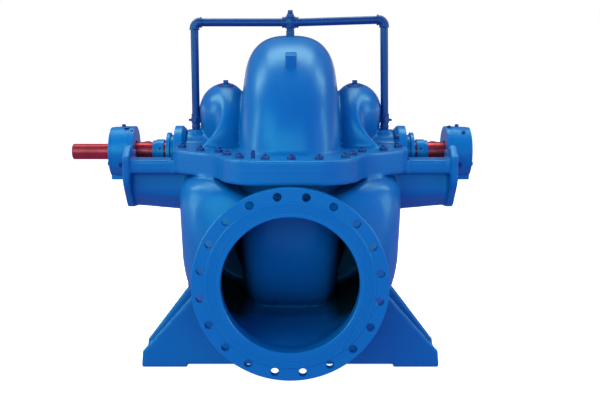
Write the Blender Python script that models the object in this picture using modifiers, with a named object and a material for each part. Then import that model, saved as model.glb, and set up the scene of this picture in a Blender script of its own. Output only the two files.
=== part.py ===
"""Double suction pump: a horizontal pump with an axially split casing, drive shaft to the left.

Sizes are in metres. Every shape is drawn about the shaft axis at the middle of the volute, with X
along the shaft, -Y towards the suction nozzle and +Z up, and the datum empty carries it all to the
middle of the base. Run with: blender --background --python part.py
"""

import math

import bmesh
import bpy

# Datum
SHAFT_HEIGHT = 0.962
FACE_GAP = 0.0003
HALF_GAP = FACE_GAP / 2
SIDES = {"left": -1, "right": 1}
ENDS = {"front": -1, "rear": 1}
REACH = 1.2

# Roundness, in sides or steps
ROUND_STEPS = 36
FLANGE_SIDES = 48
BOSS_SIDES = 20
FITTING_SIDES = 16
HEXAGON_SIDES = 6
PIPE_RESOLUTION = 3
VOLUTE_STEPS = 36
CROWN_STEPS = 10
HOOD_STEPS = 8
SUCTION_STEPS = 40
SMOOTH_ANGLE = 35

# Shaft and its collars
STUB_END = 1.082
STUB_RADIUS = 0.039
STUB_CHAMFER = 0.004
STUB_SHOULDER = 0.873
JOURNAL_RADIUS = 0.045
JOURNAL_START = 0.762
SHAFT_RADIUS = 0.048
NON_DRIVE_END = 0.860
KEYWAY_LENGTH = 0.120
KEYWAY_WIDTH = 0.022
KEYWAY_DEPTH = 0.009
COLLAR_START = 0.624
COLLAR_STEP = 0.664
COLLAR_END = 0.681
COLLAR_RADIUS = 0.061
COLLAR_NOSE_RADIUS = 0.056

# Shaft seals
RUNNING_BORE = 0.060
CASING_END = 0.512
BARREL_START = 0.150
BARREL_RADIUS = 0.100
SEAL_BEVEL_END = 0.530
SEAL_BEVEL_RADIUS = 0.110
SEAL_FLANGE_END = 0.568
SEAL_FLANGE_RADIUS = 0.129
SEAL_NECK_END = 0.592
SEAL_NECK_RADIUS = 0.083
GLAND_END = 0.6125
GLAND_RADIUS = 0.095
FLUSH_BOSS_X = 0.4625
FLUSH_BOSS_TOP = 0.110
FLUSH_BOSS_RADIUS = 0.046

# Bearings
INNER_COVER_START = 0.765
HOUSING_START = 0.790
HOUSING_END = 0.8745
OUTER_COVER_END = 0.8865
COVER_BOSS_END = 0.896
HOUSING_RADIUS = 0.127
HOUSING_NOSE_RADIUS = 0.123
OUTER_COVER_RADIUS = 0.1215
COVER_BOSS_RADIUS = 0.060
END_CAP_RADIUS = 0.045
END_CAP_ROOT_RADIUS = 0.049
INNER_COVER_BORE = 0.054
COVER_BORE = 0.0445
SUMP_HALF_WIDTH = 0.055
SUMP_TOP = -0.090
SUMP_BOTTOM = -0.1335

# Parting flange: thicknesses, then its outline as x, y and corner radius from front middle to right end
UPPER_FLANGE = 0.050
LOWER_FLANGE = 0.056
FLANGE_OVERLAP = 0.020
FLANGE_CORNERS = (
    (0.262, -0.748, 0.200),
    (0.330, -0.512, 0.120),
    (0.549, -0.352, 0.110),
    (0.549, -0.200, 0.030),
    (CASING_END, -0.165, 0.010),
)

# Volute
VOLUTE_FRONT = 0.537
VOLUTE_GROWTH = 0.063
VOLUTE_SAG = 0.210
VOLUTE_HALF_WIDTH = 0.238
VOLUTE_HUB = 0.080
CROWN_HALF_WIDTH = 0.232
CROWN_DEPTH = 0.267
CROWN_POWER = 2.7

# Suction hoods on the upper casing: the ridge runs outwards to a toe at the front and at the back
HOOD_RIDGE = 0.300
HOOD_TOP_SHIFT = 0.0145
HOOD_TOE_SHIFT = 0.130
HOOD_TOE_POWER = 12
HOOD_INNER = 0.215
HOOD_OUTER = 0.420
HOOD_OUTER_TOP = 0.025
HOOD_OUTER_TOE = 0.030
HOOD_HUB_OUTER = 0.440
HOOD_HUB = 0.050
HOOD_FRONT = 0.280
HOOD_RISE = 0.057
HOOD_CROWN = 0.130
HOOD_POWER = 2.0
HOOD_PLUG_X = HOOD_RIDGE + HOOD_TOP_SHIFT
HOOD_PLUG_Y = -0.040
HOOD_SEAT = (0.290, 0.338)
HOOD_SEAT_RADIUS = 0.033
HOOD_PLUG_TOP = 0.356
HOOD_PLUG_RADIUS = 0.0135

# Gauge boss on the front of the dome
GAUGE_X = 0.003
GAUGE_Y = -0.352
GAUGE_BOTTOM = 0.360
GAUGE_TOP = 0.487
GAUGE_ROOT_RADIUS = 0.029
GAUGE_TOP_RADIUS = 0.027

# Nozzles
NOZZLE_Z = -0.4740
NOZZLE_FACE = 0.800
RAISED_FACE = 0.0035
BOLT_HOLES = 20
BOLT_HOLE_SIDES = 8
BOLT_BAR_LENGTH = 0.070
SUCTION = {
    "bore": 0.295,
    "flange": 0.420,
    "thickness": 0.040,
    "raised": 0.3625,
    "circle": 0.385,
    "hole": 0.0185,
    "turn": 0.016,
}
DISCHARGE = {
    "bore": 0.250,
    "flange": 0.3575,
    "thickness": 0.038,
    "raised": 0.3045,
    "circle": 0.325,
    "hole": 0.0165,
    "turn": 0.0,
}
DISCHARGE_DEPTH = 0.420
DISCHARGE_WALL = 0.036
DISCHARGE_NECK = (0.100, 0.775)
CASING_WALL = 0.045
SUCTION_SPLIT = 0.620
DISCHARGE_SPLIT = 0.560
SPLIT_TOP = -0.070

# Sections of the suction body: y, half width, half height, centre height, power below the centre,
# power above it, and how much wider its top is
SUCTION_STATIONS = (
    (-0.775, 0.340, 0.340, NOZZLE_Z, 2.0, 2.0, 0.00),
    (-0.710, 0.344, 0.341, NOZZLE_Z, 2.0, 2.0, 0.00),
    (-0.660, 0.385, 0.350, -0.458, 2.1, 2.4, 0.01),
    (-0.600, 0.440, 0.366, -0.440, 2.3, 4.2, 0.02),
    (-0.520, 0.480, 0.373, -0.432, 2.6, 7.0, 0.03),
    (-0.400, 0.496, 0.376, -0.429, 3.0, 9.0, 0.03),
    (-0.250, 0.500, 0.375, -0.428, 3.3, 9.0, 0.03),
    (0.150, 0.500, 0.375, -0.428, 3.3, 9.0, 0.03),
    (0.280, 0.484, 0.362, -0.420, 3.0, 6.0, 0.03),
    (0.370, 0.440, 0.320, -0.410, 2.6, 4.0, 0.02),
    (0.420, 0.360, 0.250, -0.400, 2.3, 3.0, 0.01),
    (0.440, 0.260, 0.170, -0.400, 2.1, 2.4, 0.00),
)
BORE_MOUTH = (-0.815, 0.340, 0.340, NOZZLE_Z, 2.0, 2.0, 0.00)
CAVITY_STATIONS = 9

# Feet: the outer faces in y, then each leg's half length at the floor and where its slope meets the casing
FOOT_FACE = 0.450
FOOT_SPLIT = -0.810
FOOT_ROOT = (0.380, -0.540)
FOOT_SHOULDER_Z = -0.885
FOOT_SHOULDER_STEP = 0.007
PAD_LENGTH = 0.213
PAD_HEIGHT = 0.012
FRONT_LEG = {"back": 0.250, "half": 0.697, "face_top": (0.454, -0.621), "back_top": (0.4895, -0.617)}
REAR_LEG = {"back": 0.280, "half": 0.600, "face_top": (0.400, -0.640), "back_top": (0.400, -0.640)}

# Bearing brackets: the end wall's outline and the front half of the trough's, as y, z, corner radius
BRACKET_ROOT = 0.440
BRACKET_SPLIT = 0.5515
WALL_INNER = 0.742
WALL_OUTER = 0.778
ARM_FRONT = 0.335
ARM_INNER = 0.150
MOUTH_HALF_WIDTH = 0.210
ARM_THICKNESS = 0.060
TROUGH_WALL = 0.022
TROUGH_LID = 0.002
TROUGH_OVERLAP = 0.010
TROUGH_DROP = 1.12
POCKET_OVERLAP = 0.0015
POCKET_END_GAP = 0.001
WALL_CORNERS = (
    (-0.235, 0.030, 0.0),
    (-0.270, 0.066, 0.0),
    (-0.350, 0.016, 0.0),
    (-0.345, -0.110, 0.080),
    (-0.235, -0.240, 0.060),
    (0.235, -0.240, 0.060),
    (0.345, -0.110, 0.080),
    (0.350, 0.016, 0.0),
)
TROUGH_CORNERS = (
    (-0.272, -0.010, 0.0),
    (-0.272, -0.165, 0.060),
    (-0.195, -0.236, 0.060),
)

# Flush piping
PIPE_RADIUS = 0.0193
RISER_X = 0.467
LEFT_ELBOW = (0.467, 0.632)
RIGHT_ELBOW = (0.457, 0.644)
ELBOW_RADIUS = 0.0245
ELBOW_REACH = 0.036
ELBOW_LEAD = 0.006
ELBOW_STEPS = 6
PIPE_GAP = 0.0008
UNION_BOTTOM = 0.145
UNION_TOP = 0.172
UNION_RADIUS = 0.0262
NIPPLE_RADIUS = 0.0202
CROSS_REACH = 0.040
CROSS_BOTTOM = 0.604
CROSS_TOP = 0.660
CROSS_RADIUS = 0.0265
CROSS_UPRIGHT_RADIUS = 0.0258
VENT_TOP = 0.691
VENT_ROOT_RADIUS = 0.0215
VENT_TOP_RADIUS = 0.013

PUMP_X = (STUB_END - COVER_BOSS_END) / 2


def clear_scene():
    for obj in list(bpy.data.objects):
        bpy.data.objects.remove(obj, do_unlink=True)


def new_collection(name):
    collection = bpy.data.collections.new(name)
    bpy.context.scene.collection.children.link(collection)
    return collection


def new_datum(collection):
    datum = bpy.data.objects.new("pump_datum", None)
    datum.location = (PUMP_X, 0, SHAFT_HEIGHT)
    collection.objects.link(datum)
    return datum


def paint(name, colour, roughness, metallic=0.0):
    """One Principled material: a name, a linear colour, a roughness and a metallic value."""
    material = bpy.data.materials.new(name)
    material.use_nodes = True
    shader = material.node_tree.nodes["Principled BSDF"]
    shader.inputs["Base Color"].default_value = (*colour, 1.0)
    shader.inputs["Roughness"].default_value = roughness
    shader.inputs["Metallic"].default_value = metallic
    material.diffuse_color = (*colour, 1.0)
    return material


clear_scene()
PUMP = new_collection("double_suction_pump")
CUTTERS = new_collection("cutters")
DATUM = new_datum(PUMP)
CASING_BLUE = paint("casing_blue", (0.010, 0.150, 0.520), 0.38)
HOUSING_BLUE = paint("housing_blue", (0.012, 0.170, 0.560), 0.36)
PIPE_BLUE = paint("pipe_blue", (0.008, 0.060, 0.330), 0.42)
SHAFT_STEEL = paint("shaft_steel", (0.420, 0.100, 0.055), 0.30, 0.85)


def add_object(name, mesh, look):
    """Puts a mesh under the datum: a piece of the pump if it has a look, otherwise a hidden helper."""
    obj = bpy.data.objects.new(name, mesh)
    obj.parent = DATUM
    if look is None:
        CUTTERS.objects.link(obj)
        obj.hide_render = True
        obj.display_type = "WIRE"
        return obj
    PUMP.objects.link(obj)
    mesh.materials.append(look)
    return obj


def mesh_from(name, bm):
    bmesh.ops.recalc_face_normals(bm, faces=bm.faces)
    mesh = bpy.data.meshes.new(name)
    bm.to_mesh(mesh)
    bm.free()
    return mesh


def combine(obj, operation, *others):
    for other in others:
        modifier = obj.modifiers.new(f"{operation.lower()}_{other.name}", "BOOLEAN")
        modifier.operation = operation
        modifier.object = other


def cylinder(name, axis, start, end, radius, centre=(0, 0, 0), sides=ROUND_STEPS, look=None, top=None):
    """A round bar from start to end along X, Y or Z, with another radius at its end if top is given."""
    bm = bmesh.new()
    upper = radius if top is None else top
    depth = abs(end - start)
    bmesh.ops.create_cone(bm, cap_ends=True, segments=sides, radius1=radius, radius2=upper, depth=depth)
    obj = add_object(name, mesh_from(name, bm), look)
    turn = {"X": (0, math.pi / 2, 0), "Y": (-math.pi / 2, 0, 0), "Z": (0, 0, 0)}[axis]
    if end < start:
        turn = {"X": (0, -math.pi / 2, 0), "Y": (math.pi / 2, 0, 0), "Z": (math.pi, 0, 0)}[axis]
    obj.rotation_euler = turn
    place = list(centre)
    place["XYZ".index(axis)] += (start + end) / 2
    obj.location = place
    return obj


def box(name, low, high, look=None):
    bm = bmesh.new()
    bmesh.ops.create_cube(bm, size=1.0)
    for vert in bm.verts:
        for axis in range(3):
            vert.co[axis] = high[axis] if vert.co[axis] > 0 else low[axis]
    return add_object(name, mesh_from(name, bm), look)


def box_along(name, start, end, half_width, bottom, top):
    """A hidden box between two distances along the shaft, either way round, centred in y."""
    low_x, high_x = sorted((start, end))
    return box(name, (low_x, -half_width, bottom), (high_x, half_width, top))


def turned(name, profile, look, side=1, closed=True):
    """A piece turned about the shaft: (distance along X, radius) pairs, read outwards along the shaft."""
    outline = [(radius, 0.0, along) for along, radius in profile]
    count = len(outline)
    edges = [(i, (i + 1) % count) for i in range(count if closed else count - 1)]
    mesh = bpy.data.meshes.new(name)
    mesh.from_pydata(outline, edges, [])
    obj = add_object(name, mesh, look)
    screw = obj.modifiers.new("turn", "SCREW")
    screw.axis = "Z"
    screw.steps = ROUND_STEPS
    screw.render_steps = ROUND_STEPS
    screw.use_merge_vertices = True
    screw.merge_threshold = 0.0001
    obj.rotation_euler = (0, side * math.pi / 2, 0)
    return obj


def ring(name, outer, bore, side, look):
    """A turned ring over a plain bore: outer is (distance along X, radius) pairs, inner end first."""
    profile = list(reversed(outer)) + [(outer[0][0], bore), (outer[-1][0], bore)]
    return turned(name, profile, look, side)


def rounded(corners, steps=5):
    """The outline through (x, y, radius) corners, each rounded by an arc of that radius."""
    outline = []
    count = len(corners)
    for index, (x, y, radius) in enumerate(corners):
        if radius == 0:
            outline.append((x, y))
            continue
        before = corners[index - 1]
        after = corners[(index + 1) % count]
        to_before = math.atan2(before[1] - y, before[0] - x)
        to_after = math.atan2(after[1] - y, after[0] - x)
        opening = (to_after - to_before + math.pi) % (2 * math.pi) - math.pi
        middle = to_before + opening / 2
        reach = radius / math.sin(abs(opening) / 2)
        centre = (x + reach * math.cos(middle), y + reach * math.sin(middle))
        sweep = math.copysign(math.pi - abs(opening), opening)
        first = middle + math.pi + sweep / 2
        for step in range(steps + 1):
            angle = first - sweep * step / steps
            outline.append((centre[0] + radius * math.cos(angle), centre[1] + radius * math.sin(angle)))
    return outline


def plate(name, outline, plane, start, end, look=None):
    """A flat outline in the XY, XZ or YZ plane, made a solid from start to end along the third axis."""
    curve = bpy.data.curves.new(name, "CURVE")
    curve.dimensions = "2D"
    curve.fill_mode = "BOTH"
    curve.extrude = (end - start) / 2
    spline = curve.splines.new("POLY")
    spline.points.add(len(outline) - 1)
    for point, (x, y) in zip(spline.points, outline):
        point.co = (x, y, 0, 1)
    spline.use_cyclic_u = True
    flat = bpy.data.objects.new(name + "_outline", curve)
    CUTTERS.objects.link(flat)
    graph = bpy.context.evaluated_depsgraph_get()
    mesh = bpy.data.meshes.new_from_object(flat.evaluated_get(graph))
    bpy.data.objects.remove(flat, do_unlink=True)
    bm = bmesh.new()
    bm.from_mesh(mesh)
    bpy.data.meshes.remove(mesh)
    bmesh.ops.remove_doubles(bm, verts=bm.verts, dist=0.00001)
    middle = (start + end) / 2
    order = {"XY": (0, 1, 2), "XZ": (0, 2, 1), "YZ": (2, 0, 1)}[plane]
    for vert in bm.verts:
        flat_point = (vert.co.x, vert.co.y, vert.co.z + middle)
        vert.co = [flat_point[i] for i in order]
    return add_object(name, mesh_from(name, bm), look)


def tube(name, points, radius, look):
    """A round bar along a line of points, with closed ends."""
    curve = bpy.data.curves.new(name, "CURVE")
    curve.dimensions = "3D"
    curve.bevel_depth = radius
    curve.bevel_resolution = PIPE_RESOLUTION
    curve.use_fill_caps = True
    spline = curve.splines.new("POLY")
    spline.points.add(len(points) - 1)
    for point, (x, y, z) in zip(spline.points, points):
        point.co = (x, y, z, 1)
    obj = bpy.data.objects.new(name, curve)
    obj.parent = DATUM
    PUMP.objects.link(obj)
    curve.materials.append(look)
    return obj


def loft(name, rings, look=None):
    """A closed solid through rings of equal length, with flat ends."""
    bm = bmesh.new()
    rows = [[bm.verts.new(point) for point in row] for row in rings]
    count = len(rows[0])
    for near, far in zip(rows, rows[1:]):
        for i in range(count):
            j = (i + 1) % count
            bm.faces.new((near[i], near[j], far[j], far[i]))
    bm.faces.new(rows[0])
    bm.faces.new(rows[-1])
    return add_object(name, mesh_from(name, bm), look)


def wheel(name, arch, steps):
    """A solid round the shaft whose rim section changes with the angle from the front over the top."""
    bm = bmesh.new()
    rows = []
    for step in range(steps):
        angle = 2 * math.pi * step / steps
        row = [(x, -r * math.cos(angle), r * math.sin(angle)) for x, r in arch(angle)]
        rows.append([bm.verts.new(point) for point in row])
    hubs = [bm.verts.new((rows[0][end].co.x, 0, 0)) for end in (0, -1)]
    for row, following in zip(rows, rows[1:] + rows[:1]):
        for i in range(len(row) - 1):
            bm.faces.new((row[i], row[i + 1], following[i + 1], following[i]))
        bm.faces.new((hubs[0], row[0], following[0]))
        bm.faces.new((hubs[1], following[-1], row[-1]))
    return add_object(name, mesh_from(name, bm), None)


def crown(half_width, base, depth, power, steps):
    """A rounded rim as (x, radius) pairs from left to right: half of a superellipse on a straight side."""
    points = []
    for step in range(steps + 1):
        angle = math.pi * step / steps
        across = -math.copysign(abs(math.cos(angle)) ** (2 / power), math.cos(angle))
        points.append((half_width * across, base + depth * math.sin(angle) ** (2 / power)))
    return points


def volute_radius(angle):
    """The rim grows from front to back, and swells below the shaft to feed the discharge."""
    growth = VOLUTE_GROWTH * (1 - math.cos(angle)) / 2
    sag = VOLUTE_SAG * math.sin(angle) ** 2 if math.sin(angle) < 0 else 0
    return VOLUTE_FRONT + growth + sag


def volute_arch(angle):
    rim = volute_radius(angle)
    arch = crown(CROWN_HALF_WIDTH, rim - CROWN_DEPTH, CROWN_DEPTH, CROWN_POWER, CROWN_STEPS)
    return [(-VOLUTE_HALF_WIDTH, VOLUTE_HUB)] + arch + [(VOLUTE_HALF_WIDTH, VOLUTE_HUB)]


def hood_arch(side):
    """A hood's rim: a low arch over the shaft, round on either side of a ridge."""

    def arch(angle):
        upright = abs(math.sin(angle))
        toe = abs(math.cos(angle)) ** HOOD_TOE_POWER
        rim = HOOD_FRONT + HOOD_RISE * upright
        ridge = HOOD_RIDGE + HOOD_TOP_SHIFT * upright**6 + HOOD_TOE_SHIFT * toe
        outer = HOOD_OUTER + HOOD_OUTER_TOP * upright**2 + HOOD_OUTER_TOE * toe
        shape = crown(1, rim - HOOD_CROWN, HOOD_CROWN, HOOD_POWER, HOOD_STEPS)
        points = [(ridge + x * (ridge - HOOD_INNER if x < 0 else outer - ridge), r) for x, r in shape]
        points = [(HOOD_INNER, HOOD_HUB)] + points + [(HOOD_HUB_OUTER, HOOD_HUB)]
        return [(side * x, r) for x, r in points]

    return arch


def suction_ring(y, half_width, half_height, centre, power, shoulder, taper, inset):
    """One upright section of the suction body: a superellipse, squarer and wider above its centre."""
    points = []
    for step in range(SUCTION_STEPS):
        angle = 2 * math.pi * step / SUCTION_STEPS
        bend = 2 / (shoulder if math.sin(angle) > 0 else power)
        across = math.copysign(abs(math.cos(angle)) ** bend, math.cos(angle))
        up = math.copysign(abs(math.sin(angle)) ** bend, math.sin(angle))
        x = (half_width - inset) * across * (1 + taper * up)
        points.append((x, y, centre + (half_height - inset) * up))
    return points


def suction_solid(name, stations, inset):
    return loft(name, [suction_ring(*station, inset) for station in stations])


def flange_outline():
    front = [(-x, y, radius) for x, y, radius in reversed(FLANGE_CORNERS)] + list(FLANGE_CORNERS)
    back = [(-x, -y, radius) for x, y, radius in front]
    return rounded(front + back)


def trough_ring(x, inset, drop):
    """The bracket trough's section at x, drawn in by inset and stretched downwards by drop."""
    lid = -ARM_THICKNESS - TROUGH_LID if inset else TROUGH_CORNERS[0][1]
    back = [(-y, z, radius) for y, z, radius in reversed(TROUGH_CORNERS)]
    points = []
    for y, z in rounded(list(TROUGH_CORNERS) + back):
        across = math.copysign(abs(y) - inset, y)
        points.append((x, across, min(z * drop + inset, lid)))
    return points


def bracket_shapes(side, tag):
    """Hidden shapes of one bearing bracket from inside the casing to its end wall."""
    root = side * BRACKET_ROOT
    far = side * (WALL_INNER + TROUGH_OVERLAP)
    pocket_start = side * (CASING_END - POCKET_OVERLAP)
    pocket_end = side * (WALL_INNER - POCKET_END_GAP)
    outer = loft(f"trough_{tag}", [trough_ring(root, 0, TROUGH_DROP), trough_ring(far, 0, 1.0)])
    pocket = loft(
        f"trough_pocket_{tag}",
        [trough_ring(pocket_start, TROUGH_WALL, TROUGH_DROP), trough_ring(pocket_end, TROUGH_WALL, 1.0)],
    )
    mouth = box_along(f"trough_mouth_{tag}", pocket_start, pocket_end, MOUTH_HALF_WIDTH, -0.1, 0.1)
    arms = []
    low_x, high_x = sorted((root, far))
    for end, sign in ENDS.items():
        low_y, high_y = sorted((sign * ARM_FRONT, sign * ARM_INNER))
        arms.append(box(f"arm_{end}_{tag}", (low_x, low_y, -ARM_THICKNESS), (high_x, high_y, 0)))
    return {"outer": outer, "arms": arms, "hollows": (pocket, mouth)}


def add_bracket(tag, side, shapes):
    """One bearing bracket outside the casing split: trough, two arms and the cradle wall."""
    faces = sorted((side * WALL_INNER, side * WALL_OUTER))
    bracket = plate(f"bearing_bracket_{tag}", rounded(WALL_CORNERS), "YZ", *faces, CASING_BLUE)
    cradle = cylinder(f"cradle_{tag}", "X", side * CASING_END, side, HOUSING_RADIUS + FACE_GAP)
    casing_side = box_along(f"casing_side_{tag}", 0, side * BRACKET_SPLIT, REACH, -REACH, REACH)
    combine(bracket, "UNION", shapes["outer"], *shapes["arms"])
    combine(bracket, "DIFFERENCE", *shapes["hollows"], cradle, casing_side)


def add_upper_casing():
    """Upper casting: parting flange, volute dome, two suction hoods and the seal barrels' upper halves."""
    upper = plate("upper_casing", flange_outline(), "XY", -FLANGE_OVERLAP, UPPER_FLANGE, CASING_BLUE)
    combine(upper, "UNION", wheel("volute_dome", volute_arch, VOLUTE_STEPS))
    for tag, side in SIDES.items():
        boss_centre = (side * FLUSH_BOSS_X, 0, 0)
        seat_centre = (side * HOOD_PLUG_X, HOOD_PLUG_Y, 0)
        hood = wheel(f"hood_{tag}", hood_arch(side), VOLUTE_STEPS)
        barrel = cylinder(f"barrel_top_{tag}", "X", side * BARREL_START, side * CASING_END, BARREL_RADIUS)
        boss = cylinder(
            f"flush_boss_{tag}", "Z", 0, FLUSH_BOSS_TOP, FLUSH_BOSS_RADIUS, boss_centre, BOSS_SIDES
        )
        seat = cylinder(f"hood_seat_{tag}", "Z", *HOOD_SEAT, HOOD_SEAT_RADIUS, seat_centre, BOSS_SIDES)
        combine(upper, "UNION", hood, barrel, boss, seat)
    gauge_centre = (GAUGE_X, GAUGE_Y, 0)
    gauge = cylinder(
        "gauge_boss",
        "Z",
        GAUGE_BOTTOM,
        GAUGE_TOP,
        GAUGE_ROOT_RADIUS,
        gauge_centre,
        BOSS_SIDES,
        top=GAUGE_TOP_RADIUS,
    )
    combine(upper, "UNION", gauge)
    below = box("below_parting", (-REACH, -REACH, -REACH), (REACH, REACH, HALF_GAP))
    bore = cylinder("upper_bore", "X", -REACH, REACH, RUNNING_BORE)
    combine(upper, "DIFFERENCE", below, bore)


def nozzle_disc(name, sizes, sign, look):
    """A round pipe flange with its raised face, on the suction (-1) or discharge (+1) side."""
    face = sign * NOZZLE_FACE
    back = sign * (NOZZLE_FACE - sizes["thickness"])
    step = sign * (NOZZLE_FACE - RAISED_FACE)
    centre = (0, 0, NOZZLE_Z)
    disc = cylinder(name, "Y", back, step, sizes["flange"], centre, FLANGE_SIDES, look)
    middle = (back + step) / 2
    raised = cylinder(f"{name}_face", "Y", middle, face, sizes["raised"], centre, FLANGE_SIDES)
    combine(disc, "UNION", raised)
    return disc


def bolt_holes(tag, sizes, sign):
    """The ring of bolt holes of one nozzle flange, as one helper of separate bars."""
    bm = bmesh.new()
    for index in range(BOLT_HOLES):
        angle = 2 * math.pi * (index + 0.5) / BOLT_HOLES + sizes["turn"]
        bar = bmesh.ops.create_cone(
            bm,
            cap_ends=True,
            segments=BOLT_HOLE_SIDES,
            radius1=sizes["hole"],
            radius2=sizes["hole"],
            depth=BOLT_BAR_LENGTH,
        )
        x = sizes["circle"] * math.sin(angle)
        z = NOZZLE_Z + sizes["circle"] * math.cos(angle)
        for vert in bar["verts"]:
            across, up, along = vert.co
            vert.co = (x + across, sign * (NOZZLE_FACE - sizes["thickness"] / 2) + along, z + up)
    return add_object(f"{tag}_bolt_holes", mesh_from(f"{tag}_bolt_holes", bm), None)


def add_suction_nozzle(body, cavity):
    """The mouth of the suction body in front of its split, with the pipe flange."""
    nozzle = nozzle_disc("suction_nozzle", SUCTION, -1, CASING_BLUE)
    behind = box("behind_suction_split", (-REACH, -SUCTION_SPLIT, -REACH), (REACH, REACH, REACH))
    combine(nozzle, "UNION", body)
    combine(nozzle, "DIFFERENCE", cavity, behind, bolt_holes("suction", SUCTION, -1))


def add_discharge_nozzle(neck, outlet):
    """The discharge neck behind its split, with the pipe flange."""
    nozzle = nozzle_disc("discharge_nozzle", DISCHARGE, 1, CASING_BLUE)
    before = box("before_discharge_split", (-REACH, -REACH, -REACH), (REACH, DISCHARGE_SPLIT, REACH))
    combine(nozzle, "UNION", neck)
    combine(nozzle, "DIFFERENCE", outlet, before, bolt_holes("discharge", DISCHARGE, 1))


def leg_outline(half, slope_top):
    """Half of a leg's outline in the XZ plane, from its pad's inner end round to the casing."""
    return [
        (half - PAD_LENGTH, -SHAFT_HEIGHT + PAD_HEIGHT),
        (half - PAD_LENGTH, -SHAFT_HEIGHT),
        (half, -SHAFT_HEIGHT),
        (half - FOOT_SHOULDER_STEP, FOOT_SHOULDER_Z),
        slope_top,
        FOOT_ROOT,
    ]


def leg(name, sizes, sign, look=None):
    """A pair of legs across the pump in one piece, from the floor into the casing."""
    rings = []
    for y, top in ((FOOT_FACE, sizes["face_top"]), (sizes["back"], sizes["back_top"])):
        half = leg_outline(sizes["half"], top)
        outline = half + [(-x, z) for x, z in reversed(half)]
        rings.append([(x, sign * y, z) for x, z in outline])
    return loft(name, rings, look)


def add_feet():
    """Two feet across the pump, each standing on two pads."""
    above = box("above_feet", (-REACH, -REACH, FOOT_SPLIT - FACE_GAP), (REACH, REACH, REACH))
    for tag, sizes, sign in (("front", FRONT_LEG, -1), ("rear", REAR_LEG, 1)):
        combine(leg(f"foot_{tag}", sizes, sign, CASING_BLUE), "DIFFERENCE", above)


def bracket_root(tag, shapes):
    """The inner end of a bearing bracket, which is cast on the lower casing."""
    side = SIDES[tag]
    outside = box_along(f"outside_{tag}", side * (BRACKET_SPLIT - FACE_GAP), side, REACH, -REACH, REACH)
    root = add_object(f"bracket_root_{tag}", shapes["outer"].data.copy(), None)
    combine(root, "UNION", *shapes["arms"])
    combine(root, "DIFFERENCE", *shapes["hollows"], outside)
    return root


def add_lower_casing(body, cavity, neck, outlet, brackets):
    """Lower casting: parting flange, suction body, volute, neck, bracket roots and foot saddles."""
    lower = plate("lower_casing", flange_outline(), "XY", -LOWER_FLANGE, FLANGE_OVERLAP, CASING_BLUE)
    below = box("below_saddles", (-REACH, -REACH, -REACH), (REACH, REACH, FOOT_SPLIT))
    combine(lower, "UNION", body)
    for tag, sizes, sign in (("front", FRONT_LEG, -1), ("rear", REAR_LEG, 1)):
        saddle = leg(f"saddle_{tag}", sizes, sign)
        combine(saddle, "DIFFERENCE", below)
        combine(lower, "UNION", saddle)
    for tag, shapes in brackets.items():
        combine(lower, "UNION", bracket_root(tag, shapes))
    combine(lower, "DIFFERENCE", cavity)
    combine(lower, "UNION", wheel("volute_base", volute_arch, VOLUTE_STEPS), neck)
    for tag, side in SIDES.items():
        barrel = cylinder(f"barrel_base_{tag}", "X", side * BARREL_START, side * CASING_END, BARREL_RADIUS)
        combine(lower, "UNION", barrel)
    above = box("above_parting", (-REACH, -REACH, -HALF_GAP), (REACH, REACH, REACH))
    bore = cylinder("lower_bore", "X", -REACH, REACH, RUNNING_BORE)
    mouth_y = -SUCTION_SPLIT + FACE_GAP
    mouth = box("before_suction_split", (-REACH, -REACH, -REACH), (REACH, mouth_y, SPLIT_TOP))
    neck_y = DISCHARGE_SPLIT - FACE_GAP
    neck_end = box("behind_discharge_split", (-REACH, neck_y, -REACH), (REACH, REACH, SPLIT_TOP))
    combine(lower, "DIFFERENCE", above, bore, outlet, mouth, neck_end)


def add_casing_base(brackets):
    """The lower casting and both of its nozzles, which share their walls and passages."""
    mouth_and_cavity = (BORE_MOUTH,) + SUCTION_STATIONS[:CAVITY_STATIONS]
    body = suction_solid("suction_body", SUCTION_STATIONS, 0)
    cavity = suction_solid("suction_cavity", mouth_and_cavity, CASING_WALL)
    centre = (0, 0, NOZZLE_Z)
    neck_radius = DISCHARGE["bore"] + DISCHARGE_WALL
    neck = cylinder("discharge_neck", "Y", *DISCHARGE_NECK, neck_radius, centre, FLANGE_SIDES)
    outlet_start = NOZZLE_FACE - DISCHARGE_DEPTH
    outlet = cylinder("discharge_bore", "Y", outlet_start, REACH, DISCHARGE["bore"], centre, FLANGE_SIDES)
    add_lower_casing(body, cavity, neck, outlet, brackets)
    add_suction_nozzle(body, cavity)
    add_discharge_nozzle(neck, outlet)


def add_shaft():
    """The shaft, long end to the left, with the coupling keyway on its rear side."""
    profile = [
        (NON_DRIVE_END, 0),
        (NON_DRIVE_END, JOURNAL_RADIUS),
        (JOURNAL_START, JOURNAL_RADIUS),
        (JOURNAL_START, SHAFT_RADIUS),
        (-JOURNAL_START, SHAFT_RADIUS),
        (-JOURNAL_START, JOURNAL_RADIUS),
        (-STUB_SHOULDER, JOURNAL_RADIUS),
        (-STUB_SHOULDER, STUB_RADIUS),
        (-STUB_END + STUB_CHAMFER, STUB_RADIUS),
        (-STUB_END, STUB_RADIUS - STUB_CHAMFER),
        (-STUB_END, 0),
    ]
    shaft = turned("shaft", profile, SHAFT_STEEL, closed=False)
    keyway = box(
        "keyway",
        (-REACH, STUB_RADIUS - KEYWAY_DEPTH, -KEYWAY_WIDTH / 2),
        (-STUB_END + KEYWAY_LENGTH, STUB_RADIUS + KEYWAY_DEPTH, KEYWAY_WIDTH / 2),
    )
    combine(shaft, "DIFFERENCE", keyway)


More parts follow.
